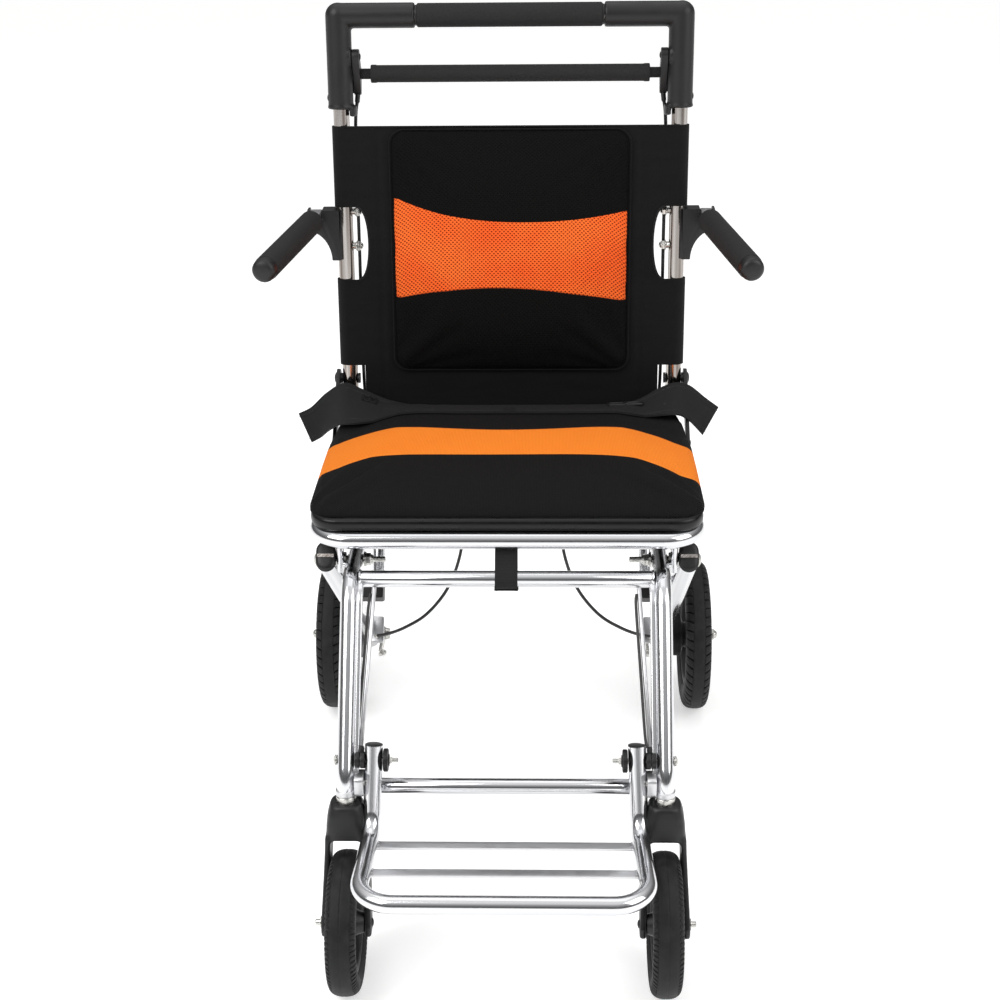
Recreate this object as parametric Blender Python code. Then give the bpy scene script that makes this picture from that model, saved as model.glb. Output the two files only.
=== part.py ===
"""Folding travel wheelchair: tube frame, soft seat and back, four solid tyres.

Metres, +Z up. The chair faces -Y and X is its left-right axis. The origin is on the floor,
under the middle of its outer box. Left is -X, as the photograph shows it.
"""
import math

import bmesh
import bpy
from mathutils import Vector

# Clearances
GAP = 0.0003
RUN = 0.0004

# Frame tubes
TUBE_R = 0.0095
CROSSBAR_R = 0.0090
LOWER_BAR_R = 0.0085
BOLT_R = 0.0030
HEAD_R = 0.0055
HEAD_TALL = 0.0050
TIP_R = 0.0025
TIP_LONG = 0.0030
PIVOT_R = 0.0040
PIVOT_HEAD_R = 0.0080
PIVOT_HEAD_TALL = 0.0040
PIVOT_NUT_TALL = 0.0070
PIVOT_TIP_LONG = 0.0140

# Wheels
FRONT_R = 0.0762
FRONT_HALF = 0.0160
FRONT_RIM_R = 0.0535
FRONT_X = 0.1680
REAR_R = 0.1016
REAR_HALF = 0.0170
REAR_RIM_R = 0.0700
REAR_X = 0.2465
WHEELBASE = 0.6120
RIM_WALL = 0.0050
SPOKES = 5
SPOKE_WIDTH = 0.0110
SPOKE_THICK = 0.0080
FRONT_HUB_R = 0.0140
FRONT_HUB_PROUD = 0.0030
REAR_HUB_R = 0.0180
AXLE_R = 0.0050
REAR_HUB_OUT = 0.0221
DRUM_DEEP = 0.0130
NUT_TALL = 0.0060
AXLE_TIP = 0.0040

# Casters
CASTER_TRAIL = 0.0450
SOCKET_Z = 0.2065
COLLAR_R = 0.0105
COLLAR_TALL = 0.0070
BOSS_R = 0.0180
BOSS_TALL = 0.0440
BRIDGE_TALL = 0.0140
FORK_THICK = 0.0070
FORK_TIP_R = 0.0120
STEM_R = 0.0040
STEM_TALL = 0.0180

# Front legs and rails
LEG_BEND_Z = 0.2220
LEG_LEAN = math.radians(33.8)
RAIL_Z = 0.3970
RAIL_END = 0.5650
KNEE_R = 0.0450
ANKLE_R = 0.0200

# Cross tubes between the legs
UPPER_BAR_BACK = 0.0125
UPPER_BAR_DROP = 0.0013
LOWER_BAR_BACK = 0.0205
LOWER_BAR_Z = 0.2038
BRACKET_WIDE = 0.0100

# Footrest
FOOT_PIVOT_Z = 0.2405
FOOT_X = 0.1380
FOOT_FRONT_X = 0.1470
FOOT_TOP_Z = 0.2565
FOOT_Z = 0.1660
FOOT_HEEL_IN = 0.0090
FOOT_TOE = 0.0910
FOOT_BEND_R = 0.0260
FOOT_CORNER_R = 0.0300
SLAT_WIDE = 0.0120
SLAT_THICK = 0.0030
SLAT_REAR_IN = 0.0180
SLAT_FRONT_IN = 0.0640
SPACER_R = 0.0060
KNOB_R = 0.0125
KNOB_THICK = 0.0070

# Seat
SEAT_X = 0.2067
SEAT_Z = 0.4370
SEAT_FRONT = 0.1840
SEAT_REAR = 0.5050
SEAT_CORNER_R = 0.0380
BASE_THICK = 0.0137
BASE_HALF = 0.2135
BASE_REAR_HALF = 0.2070
BASE_REAR = 0.5170
CUSHION_HALF = 0.2185
CUSHION_REAR_HALF = 0.2060
CUSHION_EDGE = 0.0120
CUSHION_CROWN = 0.0270
CUSHION_CORNER_R = 0.0340
STRAP_WIDE = 0.0250
STRAP_THICK = 0.0020
BRACKET_FRONT = 0.2620
BRACKET_REAR = 0.4800
BRACKET_THICK = 0.0032
BRACKET_FLANGE = 0.0200

# Back
POST_X = 0.2016
RECLINE = math.radians(4.84)
POST_LINE = 0.5330
BACK_PIVOT_Z = 0.5000
POST_FOOT_Z = 0.4615
HANDLE_Z = 0.9357
HANDLE_CORNER_R = 0.0180
SLEEVE_R = 0.0148
SLEEVE_LONG = 0.1067
ELBOW_R = 0.0143
ELBOW_END = 0.1113
GRIP_HALF = 0.1090
GRIP_R = 0.0138
HINGE_PLATE_THICK = 0.0045
HINGE_EYE_R = 0.0115
FABRIC_THICK = 0.0022
HEM = 0.0015
SLING_TOP_DROP = 0.1264
SLING_FOOT_Z = 0.4660
SLEEVE_CLOTH_Z = 0.5190
SLING_FOOT_HALF = 0.1830
CUTOUT_BELOW = 0.0235
CUTOUT_ABOVE = 0.0023
CUTOUT_IN = 0.1720
PAD_HALF = 0.1440
PAD_LOW_Z = 0.5140
PAD_HIGH_Z = 0.8060
PAD_CORNER_R = 0.0170
PAD_EDGE = 0.0090
PAD_CROWN = 0.0200

# Armrests
ARM_PIVOT_X = 0.2360
ARM_PIVOT_Z = 0.7035
ARM_BAR_WIDE = 0.0140
ARM_BAR_TALL = 0.0130
ARM_EAR_THICK = 0.0030
ARM_SPLAY = math.radians(9.5)
ARM_DROOP = math.radians(3.0)
ARM_GRIP_R = 0.0142
ARM_GRIP_START = 0.0290
ARM_GRIP_LONG = 0.1930
ARM_ROD_R = 0.0070
ARM_ROD_LONG = 0.1500
ARM_BOLT_LOW = 0.0380
ARM_BOLT_HIGH = -0.0040
ARM_BODY_BELOW = 0.0540
ARM_BODY_ABOVE = 0.0082
ARM_BODY_DEEP = 0.0220

# Brake bar at the push handle
BRAKE_PIVOT_DROP = 0.0467
BRAKE_BAR_DROP = 0.0215
BRAKE_BAR_BACK = 0.0120
BRAKE_BAR_R = 0.0104
BRAKE_NECK_LONG = 0.0122
BRAKE_NECK_R = 0.0062
BRAKE_ARM_IN = 0.0003
BRAKE_ARM_THICK = 0.0085
BRAKE_TAIL_DROP = 0.0245

# Rear legs
LEG_PIVOT_Y = 0.2220
REAR_LEG_X = 0.1990
REAR_LEG_WIDE = 0.0200
REAR_LEG_DEEP = 0.0320
REAR_LEG_AHEAD = 0.0100
REAR_LEG_PAST = 0.0180
PLUG_LONG = 0.0075
PLUG_PROUD = 0.0005
REAR_BAR_R = 0.0080
REAR_BAR_ALONG = 0.1700
REAR_BAR_ABOVE = 0.0100
REST_ALONG = 0.2600
REST_LONG = 0.0280
REST_WALL = 0.0035
REST_STRUT_R = 0.0080

# Rear brake
BRAKE_LUG_ALONG = 0.4020
BRAKE_LUG_LONG = 0.0080
BRAKE_LUG_RISE = 0.0080
BRAKE_LUG_FALL = 0.0270         # how far the lug hangs below the leg's line
BRAKE_LUG_OUT = 0.0165
BRAKE_LEVER_BACK = 0.0480
BRAKE_LEVER_BELOW = 0.0340
BRAKE_LEVER_THICK = 0.0040
BRAKE_LEVER_GAP = 0.0060
BRAKE_LEVER_ROOT_R = 0.0100
BRAKE_LEVER_TIP_R = 0.0050
BACKPLATE_R = 0.0330
BACKPLATE_THICK = 0.0030
DRUM_R = 0.0300

# Cables, stays and belts
CABLE_R = 0.0018
CABLE_BEHIND = 0.0095
CABLE_X = 0.1862
CABLE_LOW_Z = 0.5200           # last point that the cable keeps beside the post
CABLE_TAIL_DROP = 0.0050       # from the bar's tail down to the cable's end
CABLE_UNDER = 0.0200           # the cable meets the lug this far below the leg's line
STAY_R = 0.0025
STAY_X = 0.1530
STAY_TOP_X = 0.1420
BELT_WIDE = 0.0360
BELT_THICK = 0.0040
BELT_END_X = 0.0700
BELT_LIE_X = 0.1960
BELT_OUT_X = 0.2500
BELT_Y = 0.4550

# Smoothness
ROUND = 12
FINE = 28

# Places along Y, from the front axle, so that the outer box is centred on the origin
FRONT_REACH = FOOT_TOE + TUBE_R
REAR_REACH = WHEELBASE + REAR_R
FRONT_Y = (FRONT_REACH - REAR_REACH) / 2
REAR_Y = FRONT_Y + WHEELBASE
STEM_Y = FRONT_Y + CASTER_TRAIL
KNEE_Y = STEM_Y + (RAIL_Z - LEG_BEND_Z) * math.tan(LEG_LEAN)
FOOT_PIVOT_Y = STEM_Y + (FOOT_PIVOT_Z - LEG_BEND_Z) * math.tan(LEG_LEAN)
LEG_PIVOT = Vector((0, FRONT_Y + LEG_PIVOT_Y, RAIL_Z))
REAR_AXLE = Vector((0, REAR_Y, REAR_R))
LEG_ALONG = (REAR_AXLE - LEG_PIVOT).normalized()
LEG_UP = Vector((0, -LEG_ALONG.z, LEG_ALONG.y))
REAR_LEG_LONG = (REAR_AXLE - LEG_PIVOT).length
BASE_Z = SEAT_Z + TUBE_R + GAP
CUSHION_Z = BASE_Z + BASE_THICK + GAP
SLEEVE_FOOT_Z = HANDLE_Z - SLEEVE_LONG
SLING_TOP_Z = HANDLE_Z - SLING_TOP_DROP
BRAKE_PIVOT_Z = HANDLE_Z - BRAKE_PIVOT_DROP
BRAKE_BAR_Z = BRAKE_PIVOT_Z - BRAKE_BAR_DROP
BRAKE_TAIL_Z = BRAKE_BAR_Z - BRAKE_TAIL_DROP
BRAKE_ARM_OUT = POST_X - SLEEVE_R - BRAKE_ARM_IN
BRAKE_BAR_HALF = BRAKE_ARM_OUT - BRAKE_ARM_THICK - BRAKE_NECK_LONG
ARM_BODY_LOW_Z = ARM_PIVOT_Z - ARM_BODY_BELOW
ARM_BODY_HIGH_Z = ARM_PIVOT_Z + ARM_BODY_ABOVE
ARM_BOLT_ZS = (ARM_PIVOT_Z - ARM_BOLT_LOW, ARM_PIVOT_Z - ARM_BOLT_HIGH)
CUTOUT_LOW_Z = ARM_BODY_LOW_Z - CUTOUT_BELOW
CUTOUT_HIGH_Z = ARM_BODY_HIGH_Z + CUTOUT_ABOVE
X_AXIS = Vector((1, 0, 0))
Z_AXIS = Vector((0, 0, 1))


def clear_scene():
    """Removes what a new file holds."""
    for obj in list(bpy.data.objects):
        bpy.data.objects.remove(obj, do_unlink=True)


def material(name, colour, roughness, metallic):
    """A plain Principled material."""
    mat = bpy.data.materials.new(name)
    mat.use_nodes = True
    shader = mat.node_tree.nodes["Principled BSDF"]
    shader.inputs["Base Color"].default_value = (*colour, 1)
    shader.inputs["Roughness"].default_value = roughness
    shader.inputs["Metallic"].default_value = metallic
    mat.diffuse_color = (*colour, 1)
    return mat


def empty(name, place, parent=None):
    """An empty on a joint's axis, which carries the pieces that move with it."""
    obj = bpy.data.objects.new(name, None)
    bpy.context.scene.collection.objects.link(obj)
    obj.location = place
    if parent:
        obj.parent = parent
        obj.location = Vector(place) - Vector(parent["place"])
    obj["place"] = list(place)
    return obj


def piece(name, bm, mat, body):
    """Turns a bmesh in world coordinates into a named object on its body's empty."""
    bmesh.ops.remove_doubles(bm, verts=bm.verts, dist=1e-6)
    bmesh.ops.recalc_face_normals(bm, faces=bm.faces)
    place = Vector(body["place"]) if body else Vector()
    bmesh.ops.translate(bm, verts=bm.verts, vec=-place)
    mesh = bpy.data.meshes.new(name)
    bm.to_mesh(mesh)
    bm.free()
    mesh.shade_smooth()
    mesh.set_sharp_from_angle(angle=math.radians(35))
    obj = bpy.data.objects.new(name, mesh)
    bpy.context.scene.collection.objects.link(obj)
    if mat:
        mesh.materials.append(mat)
    obj.parent = body
    return obj


def tool(obj, bm, operation):
    """Adds, cuts or keeps the shape in bm with a Boolean modifier on obj."""
    helper = piece(obj.name + "_" + operation.lower(), bm, None, None)
    helper.hide_render = True
    helper.display_type = "WIRE"
    mod = obj.modifiers.new(operation, "BOOLEAN")
    mod.operation = operation
    mod.solver = "EXACT"
    mod.object = helper
    return helper


def cut(obj, bm):
    return tool(obj, bm, "DIFFERENCE")


def join(obj, bm):
    return tool(obj, bm, "UNION")


def bridge_rings(bm, rings, closed=False):
    """Joins rings of vertices with quads, and caps the ends of an open run."""
    count = len(rings[0])
    pairs = list(zip(rings, rings[1:]))
    if closed:
        pairs.append((rings[-1], rings[0]))
    for low, high in pairs:
        for i in range(count):
            j = (i + 1) % count
            bm.faces.new((low[i], low[j], high[j], high[i]))
    if not closed:
        bm.faces.new(rings[0][::-1])
        bm.faces.new(rings[-1])


def circle(radius, sides=ROUND):
    """Points of a round section."""
    turn = 2 * math.pi / sides
    return [(radius * math.cos(i * turn), radius * math.sin(i * turn)) for i in range(sides)]


def bore(radius, sides=ROUND):
    """Points of a round hole whose flats clear a bar of this radius."""
    return circle(radius / math.cos(math.pi / sides), sides)


def stadium(wide, deep, steps=4):
    """Points of an upright oval section with round ends."""
    r = wide / 2
    flat = deep / 2 - r
    points = []
    for centre, start in ((flat, 0), (-flat, math.pi)):
        for i in range(steps + 1):
            a = start + math.pi * i / steps
            points.append((r * math.cos(a), centre + r * math.sin(a)))
    return points


def rounded(points, radii, steps=5):
    """A path through the points whose inner corners are arcs."""
    points = [Vector(p) for p in points]
    path = [points[0]]
    for before, corner, after, radius in zip(points, points[1:], points[2:], radii):
        into = (before - corner).normalized()
        out = (after - corner).normalized()
        half = into.angle(out) / 2
        centre = corner + (into + out).normalized() * radius / math.sin(half)
        start = corner + into * radius / math.tan(half) - centre
        end = corner + out * radius / math.tan(half) - centre
        sweep_angle = start.angle(end)
        for i in range(steps + 1):
            t = i / steps
            a = math.sin((1 - t) * sweep_angle) / math.sin(sweep_angle)
            b = math.sin(t * sweep_angle) / math.sin(sweep_angle)
            path.append(centre + start * a + end * b)
    path.append(points[-1])
    return path


def swept(path, section, side=None, closed=False):
    """A section carried along a path, with its first axis kept square to the run."""
    bm = bmesh.new()
    rings = []
    count = len(path)
    across = Vector(side) if side else None
    for i, point in enumerate(path):
        before = path[i - 1] if closed or i else path[0]
        after = path[(i + 1) % count] if closed or i < count - 1 else path[-1]
        run = (after - before).normalized()
        if across is None:
            across = run.orthogonal()
        across = (across - run * across.dot(run)).normalized()
        up = run.cross(across)
        rings.append([bm.verts.new(point + across * a + up * b) for a, b in section])
    bridge_rings(bm, rings, closed)
    return bm


def rod(start, end, radius, sides=ROUND):
    """A straight round bar."""
    return swept([Vector(start), Vector(end)], circle(radius, sides))


def drill(start, end, radius, sides=ROUND):
    """A straight round hole that clears a bar of this radius."""
    return swept([Vector(start), Vector(end)], bore(radius, sides))


def turned(profile, centre, steps=FINE, closed=False):
    """A profile of (x, radius) points turned about the X axis through centre."""
    bm = bmesh.new()
    rings = []
    for x, radius in profile:
        ring = []
        for i in range(steps):
            a = 2 * math.pi * i / steps
            spot = Vector((x, radius * math.cos(a), radius * math.sin(a))) + centre
            ring.append(bm.verts.new(spot))
        rings.append(ring)
    bridge_rings(bm, rings, closed)
    return bm


def upright(profile, centre, steps=FINE):
    """A profile of (z, radius) points turned about the Z axis through centre."""
    bm = bmesh.new()
    rings = []
    for z, radius in profile:
        ring = [bm.verts.new(Vector((a, b, z)) + centre) for a, b in circle(radius, steps)]
        rings.append(ring)
    bridge_rings(bm, rings)
    return bm


def plate(outline, low, high):
    """An outline of (y, z) points given thickness from low to high along X."""
    bm = bmesh.new()
    rings = [[bm.verts.new((x, y, z)) for y, z in outline] for x in (low, high)]
    bridge_rings(bm, rings)
    return bm


def profile_bar(outline, low, high):
    """An outline of (x, z) points drawn out from low to high along Y."""
    bm = bmesh.new()
    rings = [[bm.verts.new((x, y, z)) for x, z in outline] for y in (low, high)]
    bridge_rings(bm, rings)
    return bm


def slab(outline, low, high):
    """An outline of (x, y) points given thickness from low to high along Z."""
    bm = bmesh.new()
    rings = [[bm.verts.new((x, y, z)) for x, y in outline] for z in (low, high)]
    bridge_rings(bm, rings)
    return bm


def block(low, high):
    """A box between two corners."""
    outline = [(low[0], low[1]), (high[0], low[1]), (high[0], high[1]), (low[0], high[1])]
    return slab(outline, low[2], high[2])


def smooth_route(points, steps=3):
    """A smooth curve through a cord's own points, with a few steps in each span."""
    points = [Vector(p) for p in points]
    ends = [points[0] * 2 - points[1]] + points + [points[-1] * 2 - points[-2]]
    route = []
    for a, b, c, d in zip(ends, ends[1:], ends[2:], ends[3:]):
        straight = (b - a).angle(c - b) < 0.02 and (c - b).angle(d - c) < 0.02
        count = 1 if straight else steps
        for i in range(count):
            t = i / count
            route.append(0.5 * (2 * b + (c - a) * t + (2 * a - 5 * b + 4 * c - d) * t * t
                                + (3 * b - a - 3 * c + d) * t ** 3))
    route.append(points[-1])
    return route


def post_y(z):
    """Where the leaning back posts are at a height."""
    return FRONT_Y + POST_LINE + (z - SEAT_Z) * math.tan(RECLINE)


def on_post(x, z, ahead=0.0):
    """A point beside the post line, ahead of it by a distance square to the post."""
    drop = ahead * math.sin(RECLINE)
    return Vector((x, post_y(z) - ahead * math.cos(RECLINE), z + drop))


def on_leg(x, along, above=0.0):
    """A point beside the rear leg's line, by distance from its pivot and above it."""
    return LEG_PIVOT + LEG_ALONG * along + LEG_UP * above + X_AXIS * x


def seat_half(y, front_half, rear_half):
    """The seat's half width, which narrows towards the back."""
    narrow_from = FRONT_Y + 0.30
    narrow_to = FRONT_Y + BASE_REAR
    share = min(1, max(0, (y - narrow_from) / (narrow_to - narrow_from)))
    return front_half + (rear_half - front_half) * share * share


def rounded_outline(low, high, corner, half, steps=5, runs=5, inset=0.0):
    """Points of a rounded oblong between two Y values, whose half width is half(y)."""
    low += inset
    high -= inset
    corner = max(corner - inset, 0.004)
    right = []
    for i in range(steps + 1):
        a = math.pi / 2 * i / steps
        y = low + corner - corner * math.cos(a)
        right.append((half(y) - inset - corner + corner * math.sin(a), y))
    for i in range(1, runs):
        y = low + corner + (high - low - 2 * corner) * i / runs
        right.append((half(y) - inset, y))
    for i in range(steps + 1):
        a = math.pi / 2 * i / steps
        y = high - corner + corner * math.sin(a)
        right.append((half(y) - inset - corner + corner * math.cos(a), y))
    return right + [(-x, y) for x, y in reversed(right)]


def cushion_rise(share):
    """How far a pad has risen at a share of the way from its edge to its middle."""
    return math.sqrt(max(0.0, 1 - (1 - share) ** 2.4))


def padded(low, high, corner, half, edge, crown, place):
    """A crowned pad with drawn-in sides. place(x, y, height) puts a point in space."""
    bm = bmesh.new()
    levels = [(0.0, 0.0040), (edge * 0.35, 0.0), (edge * 0.75, 0.0016), (edge, 0.0060)]
    depth = min(high - low, 2 * half((low + high) / 2)) / 2 - 0.012
    for share in (0.12, 0.28, 0.5, 0.75, 1.0):
        height = edge + (crown - edge) * cushion_rise(share)
        levels.append((height, 0.0060 + (depth - 0.0060) * share))
    rings = []
    for height, inset in levels:
        outline = rounded_outline(low, high, corner, half, inset=inset)
        rings.append([bm.verts.new(place(x, y, height)) for x, y in outline])
    bridge_rings(bm, rings)
    return bm


def spoked(centre, hub_r, rim_r, half, spoke_from, hub_low, hub_high):
    """The shapes of a wheel centre: rim ring, star of spokes, and hub."""
    inner = rim_r - RIM_WALL
    rim = turned([(-half, inner), (half, inner), (half, rim_r), (-half, rim_r)], centre,
                 closed=True)
    outline = []
    sink = 0.0015
    for i in range(SPOKES):
        mid = 2 * math.pi * i / SPOKES
        for sign, radius in ((-1, inner + sink), (1, inner + sink)):
            a = mid + sign * math.asin(SPOKE_WIDTH / 2 / radius)
            outline.append((centre.y + radius * math.cos(a), centre.z + radius * math.sin(a)))
        a = mid + math.pi / SPOKES
        root = hub_r - 0.001
        outline.append((centre.y + root * math.cos(a), centre.z + root * math.sin(a)))
    web = plate(outline, centre.x + spoke_from, centre.x + spoke_from + SPOKE_THICK)
    return rim, web, turned([(hub_low, hub_r), (hub_high, hub_r)], centre, 16)


def tyre(name, centre, radius, rim_r, half, mat, body):
    """A solid tyre with rounded shoulders."""
    seat = rim_r + GAP
    shoulder = radius - half * 0.62
    profile = [(-half * 0.80, seat), (half * 0.80, seat), (half, shoulder),
               (half * 0.80, radius - 0.0030), (half * 0.42, radius),
               (-half * 0.42, radius), (-half * 0.80, radius - 0.0030), (-half, shoulder)]
    return piece(name, turned(profile, centre, FINE, closed=True), mat, body)


def make_materials():
    """The finishes that the object has."""
    return {
        "alloy": material("polished_aluminium", (0.80, 0.80, 0.82), 0.16, 1.0),
        "steel": material("zinc_steel", (0.62, 0.62, 0.64), 0.30, 1.0),
        "plastic": material("black_plastic", (0.018, 0.018, 0.020), 0.42, 0.0),
        "foam": material("black_foam", (0.022, 0.022, 0.024), 0.75, 0.0),
        "rubber": material("tyre_rubber", (0.030, 0.030, 0.032), 0.72, 0.0),
        "cloth": material("black_nylon", (0.016, 0.016, 0.018), 0.70, 0.0),
        "mesh": material("air_mesh", (0.012, 0.012, 0.013), 0.85, 0.0),
        "vinyl": material("black_vinyl", (0.012, 0.012, 0.013), 0.22, 0.0),
        "cord": material("cable_sheath", (0.012, 0.012, 0.012), 0.40, 0.0),
    }


def make_bodies():
    """One empty for each moving body, on its joint's axis."""
    bodies = {"chassis": empty("chassis", (0, 0, 0))}
    chassis = bodies["chassis"]
    bodies["rear_frame"] = empty("rear_frame", LEG_PIVOT, chassis)
    back = (0, post_y(BACK_PIVOT_Z), BACK_PIVOT_Z)
    bodies["backrest"] = empty("backrest", back, chassis)
    bar = (0, post_y(BRAKE_PIVOT_Z), BRAKE_PIVOT_Z)
    bodies["brake_bar"] = empty("brake_bar_pivot", bar, bodies["backrest"])
    foot = (0, FOOT_PIVOT_Y, FOOT_PIVOT_Z)
    bodies["footrest"] = empty("footrest", foot, chassis)
    for side, sign in (("left", -1), ("right", 1)):
        arm = (sign * ARM_PIVOT_X, post_y(ARM_PIVOT_Z), ARM_PIVOT_Z)
        bodies["armrest_" + side] = empty("armrest_" + side, arm, bodies["backrest"])
        stem = (sign * FRONT_X, STEM_Y, SOCKET_Z)
        caster = empty("caster_" + side, stem, chassis)
        bodies["caster_" + side] = caster
        hub = (sign * FRONT_X, FRONT_Y, FRONT_R)
        bodies["front_wheel_" + side] = empty("front_wheel_" + side, hub, caster)
        axle = (sign * REAR_X, REAR_Y, REAR_R)
        rear = bodies["rear_frame"]
        bodies["rear_wheel_" + side] = empty("rear_wheel_" + side, axle, rear)
        lever = (sign * REAR_LEG_X, REAR_Y, REAR_R)
        bodies["brake_lever_" + side] = empty("brake_lever_pivot_" + side, lever, rear)
    return bodies


def make_front_leg(side, sign, mats, bodies):
    """A front leg that bends back into the rail under the seat."""
    x = sign * FRONT_X
    points = [(x, STEM_Y, SOCKET_Z), (x, STEM_Y, LEG_BEND_Z), (x, KNEE_Y, RAIL_Z),
              (x, FRONT_Y + RAIL_END, RAIL_Z)]
    path = rounded(points, (ANKLE_R, KNEE_R), 6)
    leg = piece("front_leg_" + side, swept(path, circle(TUBE_R), X_AXIS), mats["alloy"],
                bodies["chassis"])
    foot = Vector((x, FOOT_PIVOT_Y, FOOT_PIVOT_Z))
    reach = X_AXIS * 0.02
    cut(leg, drill(foot - reach, foot + reach, BOLT_R + GAP, 8))
    hinge = LEG_PIVOT + X_AXIS * x
    cut(leg, drill(hinge - reach, hinge + reach, PIVOT_R + GAP, 8))
    stem = Vector((x, STEM_Y, SOCKET_Z - 0.01))
    cut(leg, drill(stem, stem + Z_AXIS * (0.0110 + STEM_TALL), STEM_R + RUN, 10))


def make_crossbars(mats, bodies):
    """The two tubes between the front legs, the lower one with its end brackets."""
    inner = FRONT_X - TUBE_R - GAP
    y = KNEE_Y + UPPER_BAR_BACK
    z = RAIL_Z - UPPER_BAR_DROP
    piece("upper_crossbar", rod((-inner, y, z), (inner, y, z), CROSSBAR_R, 14),
          mats["alloy"], bodies["chassis"])
    y = STEM_Y + LOWER_BAR_BACK
    z = LOWER_BAR_Z
    end = inner - BRACKET_WIDE / 2
    bar = piece("lower_crossbar", rod((-end, y, z), (end, y, z), LOWER_BAR_R, 14),
                mats["alloy"], bodies["chassis"])
    low = SOCKET_Z + 0.0010
    back = y + LOWER_BAR_R + 0.0020
    foot = z - LOWER_BAR_R - 0.0020
    outline = [(STEM_Y - TUBE_R, low), (STEM_Y - TUBE_R, low + 0.0220),
               (STEM_Y + 0.0100, low + 0.0235), (back, z + LOWER_BAR_R + 0.0010), (back, foot),
               (back - 0.0110, foot), (back - 0.0130, z), (STEM_Y + 0.0120, low)]
    for sign in (-1, 1):
        ends = sorted((sign * inner, sign * (inner - BRACKET_WIDE)))
        join(bar, plate(outline, *ends))


def make_footrest(mats, bodies):
    """The swing-up footrest: one bent tube and two slats."""
    heel = STEM_Y - FOOT_HEEL_IN
    toe = FRONT_Y - FOOT_TOE
    rise = (FOOT_PIVOT_Y - heel) / (FOOT_PIVOT_Z - FOOT_Z)
    top = FOOT_PIVOT_Y + (FOOT_TOP_Z - FOOT_PIVOT_Z) * rise
    half = [(FOOT_X, top, FOOT_TOP_Z), (FOOT_X, heel, FOOT_Z), (FOOT_FRONT_X, toe, FOOT_Z)]
    points = [(-x, y, z) for x, y, z in half] + half[::-1]
    bends = (FOOT_BEND_R, FOOT_CORNER_R, FOOT_CORNER_R, FOOT_BEND_R)
    frame = piece("footrest_frame", swept(rounded(points, bends), circle(TUBE_R)),
                  mats["alloy"], bodies["footrest"])
    for sign in (-1, 1):
        spot = Vector((sign * FOOT_X, FOOT_PIVOT_Y, FOOT_PIVOT_Z))
        cut(frame, drill(spot - X_AXIS * 0.015, spot + X_AXIS * 0.015, BOLT_R + RUN, 8))
    for inset in (SLAT_REAR_IN, SLAT_FRONT_IN):
        y = heel - inset
        share = (heel - y) / (heel - toe)
        reach = FOOT_X + (FOOT_FRONT_X - FOOT_X) * share - TUBE_R / 2
        low = (-reach, y - SLAT_WIDE / 2, FOOT_Z - SLAT_THICK / 2)
        high = (reach, y + SLAT_WIDE / 2, FOOT_Z + SLAT_THICK / 2)
        join(frame, block(low, high))


def make_foot_pivot(side, sign, mats, bodies):
    """The bolt that carries the footrest: head, spacer, knob and nut in one."""
    inner = FRONT_X - TUBE_R - GAP
    foot_out = FOOT_X + TUBE_R + GAP
    foot_in = FOOT_X - TUBE_R - GAP
    leg_out = FRONT_X + TUBE_R + GAP
    knob_in = foot_in - KNOB_THICK
    profile = [(leg_out + HEAD_TALL, HEAD_R), (leg_out, HEAD_R), (leg_out, BOLT_R),
               (inner, BOLT_R), (inner, SPACER_R), (foot_out, SPACER_R), (foot_out, BOLT_R),
               (foot_in, BOLT_R), (foot_in, KNOB_R), (knob_in, KNOB_R), (knob_in, HEAD_R),
               (knob_in - HEAD_TALL, HEAD_R), (knob_in - HEAD_TALL - TIP_LONG, TIP_R)]
    profile = [(sign * x, r) for x, r in profile]
    spot = Vector((0, FOOT_PIVOT_Y, FOOT_PIVOT_Z))
    piece("footrest_pivot_" + side, turned(profile, spot, 16), mats["steel"],
          bodies["chassis"])


def make_leg_pivot(side, sign, mats, bodies):
    """The bolt that the rear leg folds on, with its spacer and domed nut."""
    rail_in = FRONT_X - TUBE_R - GAP
    rail_out = FRONT_X + TUBE_R + GAP
    leg_in = REAR_LEG_X - REAR_LEG_WIDE / 2 - GAP
    leg_out = REAR_LEG_X + REAR_LEG_WIDE / 2 + GAP
    wide = PIVOT_HEAD_R
    nut = rail_in - PIVOT_NUT_TALL
    dome = nut - TIP_LONG
    profile = [(leg_out + PIVOT_HEAD_TALL, wide), (leg_out, wide), (leg_out, PIVOT_R),
               (leg_in, PIVOT_R), (leg_in, wide), (rail_out, wide), (rail_out, PIVOT_R),
               (rail_in, PIVOT_R), (rail_in, wide), (nut, wide), (dome, PIVOT_R),
               (dome - PIVOT_TIP_LONG, BOLT_R)]
    profile = [(sign * x, r) for x, r in profile]
    piece("leg_pivot_" + side, turned(profile, LEG_PIVOT, 16), mats["steel"],
          bodies["chassis"])


def make_seat_frame(mats, bodies):
    """The closed tube loop that the seat base lies on."""
    front = FRONT_Y + SEAT_FRONT
    rear = FRONT_Y + SEAT_REAR
    r = SEAT_CORNER_R
    path = []
    corners = ((SEAT_X - r, front + r, -90), (SEAT_X - r, rear - r, 0),
               (r - SEAT_X, rear - r, 90), (r - SEAT_X, front + r, 180))
    for cx, cy, start in corners:
        for i in range(7):
            a = math.radians(start + 90 * i / 6)
            path.append(Vector((cx + r * math.cos(a), cy + r * math.sin(a), SEAT_Z)))
    piece("seat_frame", swept(path, circle(TUBE_R), Z_AXIS, closed=True), mats["alloy"],
          bodies["chassis"])


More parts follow.
